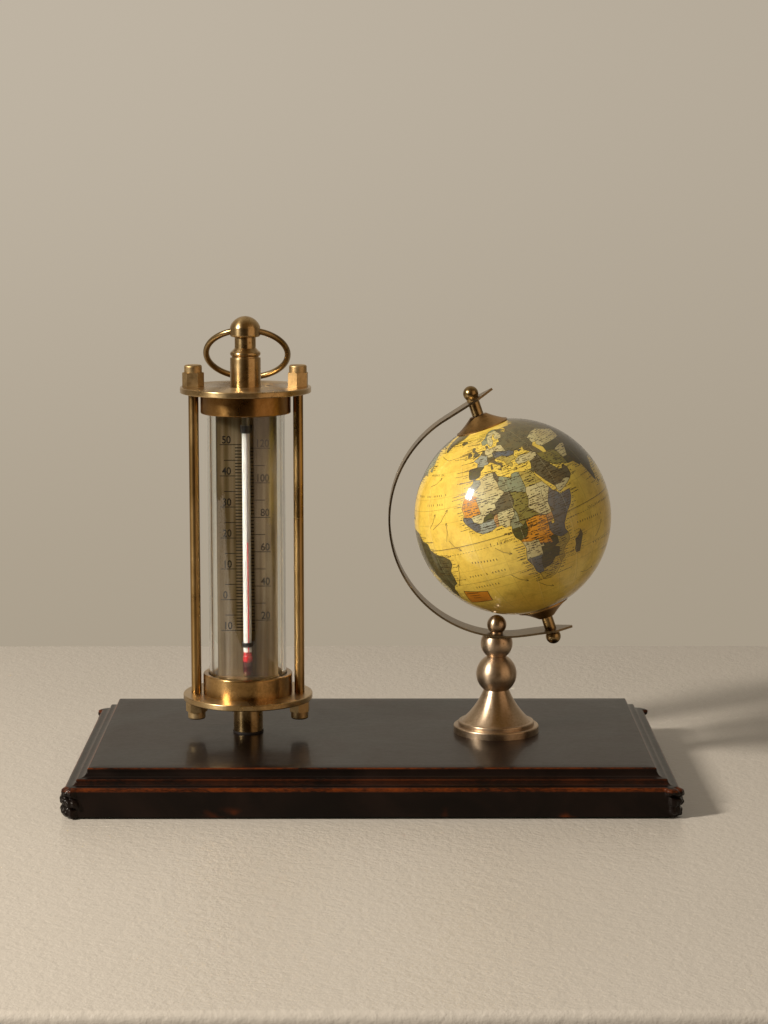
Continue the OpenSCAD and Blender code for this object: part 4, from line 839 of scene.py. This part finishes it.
# The share of rows and ticks that are printed, and how many places are tried for print on land
PRINTED, TRIES = 0.85, 16000
for polygon in [*land.values(), *seas.values()]:
    ink.line(polygon + polygon[:1], LINE)
for polygon in regions.values():
    ink.border(polygon, 0.75 * LINE)
ink.line(CARTOUCHE + CARTOUCHE[:1], 1.8 * LINE)
for river in rivers.values():
    ink.line(river, 0.6 * LINE)
for lat, width in ((0.5, 1.3), (23.5, 0.5), (-23.5, 0.5), (66.5, 0.5)):
    ink.line([(-180 + 3 * i, lat) for i in range(121)], width * LINE)
for i in range(-180, 180, 2):
    ink.line([(i, -3.6), (i + 1.1, -3.6)], 0.9 * LINE)

# Rows of small print that run out from the shores over the sea
shores = np.array([place for polygon in land.values() for place in subdivide(polygon + polygon[:1], 1.1)
                   if abs(place[1]) < 70])
row = np.round(shores[:, 1] / 1.5) * 1.5
spread = 1 / np.cos(np.radians(row))
reach = np.array([min(9.0, 1.0 + draw.expovariate(0.4)) for _ in shores]) * spread
starts, free = np.zeros(len(shores)), np.zeros(len(shores), bool)
for side in (-1, 1):
    near = shores[:, 0] + side * 0.6 * spread
    far = near + side * reach
    wet = ~on_land(near, row) & ~on_land((near + far) / 2, row) & ~on_land(far, row) & (abs(far) < 179)
    starts[wet & ~free] = np.minimum(near, far)[wet & ~free]
    free |= wet
taken = set()
for i in np.flatnonzero(free):
    key = (round(starts[i] / 2.5), row[i])
    if key not in taken:
        taken.add(key)
        if draw.random() < PRINTED:
            ink.words(starts[i], row[i] + draw.uniform(-0.5, 0.5), reach[i],
                      draw.uniform(1.0, 2.0) * LINE)

# Small print all over the land
spots = np.array([(draw.uniform(-179, 175), math.degrees(math.asin(draw.uniform(-0.93, 0.93))))
                  for _ in range(TRIES)])
dry = on_land(spots[:, 0], spots[:, 1]) & on_land(spots[:, 0] + 3, spots[:, 1])
for lon, lat in spots[dry]:
    ink.words(lon, round(lat / 1.3) * 1.3 + draw.uniform(-0.3, 0.3), draw.uniform(0.6, 3.4),
              draw.uniform(1.0, 2.2) * LINE)

# Wide-spaced rows of upright ticks across the oceans
for x1, y1, x2, y2 in strokes(OCEAN_ROWS):
    count = int((x2 - x1) / 1.9)
    for i in range(count):
        if draw.random() < PRINTED:
            x, y = x1 + (x2 - x1) * i / count, y1 + (y2 - y1) * i / count
            ink.line([(x, y - 0.6), (x, y + 0.6)], 1.8 * LINE)
for i in range(3):
    ink.words(-40 + i, -30.6 - 2.2 * i, 11 - 2 * i, 2.2 * LINE)

# Slightly bent arrows of winds and currents
for x1, y1, x2, y2 in strokes(ARROWS):
    bend = ((x1 + x2) / 2 + (y2 - y1) * 0.08, (y1 + y2) / 2 - (x2 - x1) * 0.08)
    ink.line([(x1, y1), bend, (x2, y2)], 1.1 * LINE)
    for turn in (-0.45, 0.45):
        angle = math.atan2(y2 - bend[1], x2 - bend[0]) + math.pi + turn
        ink.line([(x2, y2), (x2 + 2 * math.cos(angle), y2 + 2 * math.sin(angle))], LINE)

map_ink = mottled("map_ink", 800, 2, rgb(44, 33, 14), rgb(84, 66, 30), Roughness=0.4, Coat_Weight=1.0,
                  Coat_Roughness=0.05)
flat_piece("map_lines", "globe", ink.points, ink.faces, map_ink, "globe_map")


# Leather and felt, in millimetres
FLAT_X, FLAT_Y, TOP = 139, 77, 23
BAND_OUT, BAND_CORNER, MITRE = 10.5, 5.0, 0.5
BAND_EDGE = 1.6
LEATHER, TURN_IN, FELT = 1.2, 14, 1.0
STUDS, STUD_HOLE = (THERMO_X / MM, COLUMN_X / MM), 2.6
END_ZONE, FAR, ARC_PARTS = 12, 999.0, 24
MOST_FULL = 2.6


def arc(x, z, radius, start, end, parts):
    """Points of a round stretch of the section, angles in degrees from outwards."""
    angles = [math.radians(start + (end - start) * i / parts) for i in range(parts + 1)]
    return [(x + radius * math.cos(a), z + radius * math.sin(a)) for a in angles]


def corner_radius(out, inset):
    """Rounding of the board's corners, seen from above, at a distance out from the flat top."""
    full = BAND_CORNER - inset
    share = max(0.0, (out + inset - full) / (BAND_OUT - full))
    return MITRE + (full - MITRE) * min(1.0, share) ** 1.5


def section(inset, bottom):
    """The board's section from the flat top outwards and down: distance out and height."""
    top, ridge, band = TOP - inset, TOP - 4.4 - inset, TOP - 7.4 - inset
    edge, crest, wall = -inset, 4.9 - inset, BAND_OUT - inset
    line = [(edge - 7, top)] + arc(edge - 0.9, top - 0.9, 0.9, 90, 0, 5)
    line += arc(edge + 3.4, ridge + 3.4, 3.4, 180, 270, 8)
    line += arc(crest - 0.7, ridge - 0.7, 0.7, 80, 25, 4)
    line += arc(crest + 2.6, band + 2.6, 2.6, 180, 270, 7)
    line += arc(wall - BAND_EDGE, band - BAND_EDGE, BAND_EDGE, 90, 0, 8)
    parts = 30
    drop = band - BAND_EDGE - bottom
    line += [(wall, band - BAND_EDGE - drop * i / parts) for i in range(1, parts + 1)]
    return line


def loop_round(out, corner):
    """Places once round the board at a distance out from the flat top.

    Each is x, y, the outward way, how far it is along the loop from the nearest corner's
    middle, and that corner's number.
    """
    centre = (FLAT_X + out - corner, FLAT_Y + out - corner)
    near = [0.45 * i for i in range(1, 19)] + [9.2, 10.5, END_ZONE]
    half_arc = math.pi / 4 * BAND_CORNER
    places = []
    for quarter in range(4):
        ahead, across = centre if quarter % 2 == 0 else centre[::-1]
        side = across + corner
        local = []
        for i in range(ARC_PARTS + 1):
            angle = math.pi / 2 * i / ARC_PARTS
            local.append((ahead + corner * math.cos(angle), across + corner * math.sin(angle),
                          angle, (2 * i / ARC_PARTS - 1) * half_arc, quarter))
        local += [(ahead - v, side, math.pi / 2, half_arc + v, quarter) for v in near]
        parts = 50 if quarter % 2 == 0 else 30
        step = 2 * (ahead - END_ZONE) / parts
        local += [(ahead - END_ZONE - step * i, side, math.pi / 2, FAR, quarter)
                  for i in range(1, parts)]
        local += [(v - ahead, side, math.pi / 2, -half_arc - v, (quarter + 1) % 4)
                  for v in near[::-1]]
        turned = Matrix.Rotation(quarter * math.pi / 2, 2)
        for x, y, angle, reach, corner_number in local:
            way = turned @ Vector((math.cos(angle), math.sin(angle)))
            places.append((*(turned @ Vector((x, y))), way, reach, corner_number))
    return places


def make_folds():
    """Gathered folds of each corner: middle height, slope, half height, fullness and ends."""
    draw = random.Random(11)
    corners = []
    for _ in range(4):
        folds = []
        for height, half in ((3.7, 2.5), (8.4, 2.6), (12.9, 2.4)):
            folds.append((height + draw.uniform(-0.5, 0.5), draw.uniform(-0.3, 0.3),
                          half + draw.uniform(-0.3, 0.2), draw.uniform(1.6, 2.4),
                          draw.uniform(4.6, 7.4), draw.uniform(4.6, 7.4), draw.uniform(0, 6)))
        corners.append(folds)
    return corners


FOLDS = make_folds()


def fullness(reach, corner_number, z):
    """How far the gathered leather stands out from the band."""
    most = 0.0
    for height, slope, half, full, before, after, phase in FOLDS[corner_number]:
        end = after if reach > 0 else before
        taper = max(0.0, min(1.0, (end - abs(reach)) / 2.4))
        taper = taper * taper * (3 - 2 * taper)
        middle = height + slope * reach + 0.3 * math.sin(reach * 1.3 + phase)
        away = (z - middle) / half
        if abs(away) < 1:
            most = max(most, full * taper * (1 + 0.1 * math.sin(reach * 2.9 + phase))
                       * math.sqrt(1 - away * away))
    pucker = 0.24 * max(0.0, 1 - abs(reach) / 9) * math.sin(z * 1.9 + reach * 0.8 + corner_number)
    return min(MOST_FULL, max(0.0, most + pucker))


def join(mesh, one, two):
    """Quads between two rings, but none where the first ring's points coincide."""
    for i in range(len(one)):
        j = (i + 1) % len(one)
        if j == 0 or one[i].co != one[j].co:
            mesh.faces.new((one[i], one[j], two[j], two[i]))


def loft(mesh, sections, folded):
    """Joined loops given by sections: out, height, inset."""
    rings = []
    for out, height, inset in sections:
        ring = []
        for x, y, way, reach, corner_number in loop_round(out, corner_radius(out, inset)):
            extra = 0.0
            if folded and inset == 0 and out > BAND_OUT - BAND_EDGE - 0.01 and reach != FAR:
                extra = fullness(reach, corner_number, height) * min(1, (out - BAND_OUT + BAND_EDGE) / 1.2)
            ring.append(mesh.verts.new(((x + way.x * extra) * MM, (y + way.y * extra) * MM,
                                        height * MM)))
        rings.append(ring)
    for one, two in zip(rings, rings[1:]):
        join(mesh, one, two)
    return rings


def hole_ring(mesh, x, height):
    parts = 24
    return [mesh.verts.new(((x + STUD_HOLE * math.cos(math.tau * i / parts)) * MM,
                            STUD_HOLE * math.sin(math.tau * i / parts) * MM, height * MM))
            for i in range(parts)]


def fill(mesh, *rings):
    edges = []
    for ring in rings:
        for a, b in zip(ring, ring[1:] + ring[:1]):
            edges.append(mesh.edges.get((a, b)) or mesh.edges.new((a, b)))
    bmesh.ops.triangle_fill(mesh, use_beauty=True, edges=edges)


def base_piece(name, shape, material, slot, smooth, node):
    """A piece of the base from its bmesh, smooth where faces meet at less than that angle."""
    bmesh.ops.remove_doubles(shape, verts=shape.verts, dist=1e-6)
    bmesh.ops.recalc_face_normals(shape, faces=shape.faces)
    mesh = bpy.data.meshes.new(name)
    shape.to_mesh(mesh)
    obj = new_piece(name, mesh, material)
    bpy.ops.object.shade_smooth_by_angle(angle=math.radians(smooth))
    settle(obj, "stand", slot, node)


def cover_board():
    """The leather, with its turned-in underside, its inner face and the holes for the studs."""
    skin = bmesh.new()
    hidden = 0.001
    outer = [(out, z, 0) for out, z in section(0, FELT)]
    under = [(out, FELT, hidden) for out in (7.0, 2.0, BAND_OUT - TURN_IN)]
    under.append((BAND_OUT - TURN_IN, FELT + LEATHER, hidden))
    inner = [(out, z, LEATHER) for out, z in section(LEATHER, FELT + LEATHER)][::-1]
    rings = loft(skin, outer + under + inner, folded=True)
    outer_holes = [hole_ring(skin, x, TOP) for x in STUDS]
    inner_holes = [hole_ring(skin, x, TOP - LEATHER) for x in STUDS]
    fill(skin, rings[0], *outer_holes)
    fill(skin, rings[-1], *inner_holes)
    for one, two in zip(outer_holes, inner_holes):
        join(skin, one, two)
    base_piece("leather_skin", skin, leather, "leather", 50, "leather_cover")


def lay_felt():
    """The pad under the base, with a rounded rim."""
    pad = bmesh.new()
    out = BAND_OUT - 2.5
    rings = loft(pad, [(out, FELT, 0), (out + 0.15, 0.7, 0), (out + 0.1, 0.25, 0),
                       (out - 0.05, 0, 0)], folded=False)
    fill(pad, rings[0])
    fill(pad, rings[-1])
    base_piece("felt_pad", pad, felt, "felt", 40, "felt_base")


cover_board()
lay_felt()


# The scale, in millimetres from the thermometer's axis
SCALE_FACE, ZERO_Z, DEGREE = 1.6, 92.0, 1.607
MARK_PROUD, FINE, BOLD = 0.03, 0.42, 0.55
NUMBER_UP = 0.7
marks, mark_faces, numbers = [], [], []


def mark(left, right, z, thick):
    """A printed line on the scale plate."""
    x1, x2 = THERMO_X / MM + left, THERMO_X / MM + right
    low, high = z - thick / 2, z + thick / 2
    first = len(marks)
    for y in (SCALE_FACE - MARK_PROUD, SCALE_FACE):
        marks.extend((x * MM, y * MM, height * MM)
                     for x, height in ((x1, low), (x2, low), (x2, high), (x1, high)))
    for face in ((0, 1, 2, 3), (7, 6, 5, 4), (0, 4, 5, 1), (1, 5, 6, 2), (2, 6, 7, 3), (3, 7, 4, 0)):
        mark_faces.append([first + corner for corner in face])


for degree in range(-10, 51):
    z = ZERO_Z + degree * DEGREE
    left = -13.8 if degree % 10 == 0 else -11.6 if degree % 5 == 0 else -5.8
    mark(left, -2, z, FINE if degree % 5 == 0 else BOLD)
    if degree % 10 == 0:
        numbers.append((str(abs(degree)), -12.6, z + NUMBER_UP, "LEFT"))
for degree in range(14, 121, 2):
    z = ZERO_Z + (degree - 32) / 1.8 * DEGREE
    right = 12.2 if degree % 20 == 0 else 9.4 if degree % 10 == 0 else 3.7
    mark(0.8, right, z, FINE if degree % 10 == 0 else BOLD)
    if degree % 20 == 0:
        numbers.append((str(degree), 11.7, z + NUMBER_UP, "RIGHT"))


def number(text, x, z, align):
    """A number as a mesh, standing in the plane of the scale's face."""
    bpy.ops.object.text_add(location=(0, 0, 0))
    words = bpy.context.object.data
    words.body, words.align_x = text, align
    words.size, words.extrude, words.offset = 5.4 * MM, 0.01 * MM, 0.1 * MM
    bpy.ops.object.convert(target="MESH")
    obj = bpy.context.object
    obj.data.transform(Matrix.Translation((THERMO_X + x * MM, (SCALE_FACE - 0.02) * MM, z * MM))
                       @ Matrix.Rotation(math.pi / 2, 4, "X") @ Matrix.Diagonal((0.87, 1, 1, 1)))
    return obj


scale_ink = mottled("scale_ink", 900, 2, rgb(8, 7, 5), rgb(22, 18, 12), Roughness=0.6,
                    Specular_IOR_Level=0.1)
flat_piece("scale_lines", "stand", marks, mark_faces, scale_ink, "scale_brass")
bpy.ops.object.select_all(action="DESELECT")
select(*[number(*each) for each in numbers])
bpy.ops.object.join()
digits = bpy.context.object
digits.name = digits.data.name = "scale_numbers"
digits.data.materials.clear()
digits.data.materials.append(scale_ink)
settle(digits, "stand", "scale_brass")
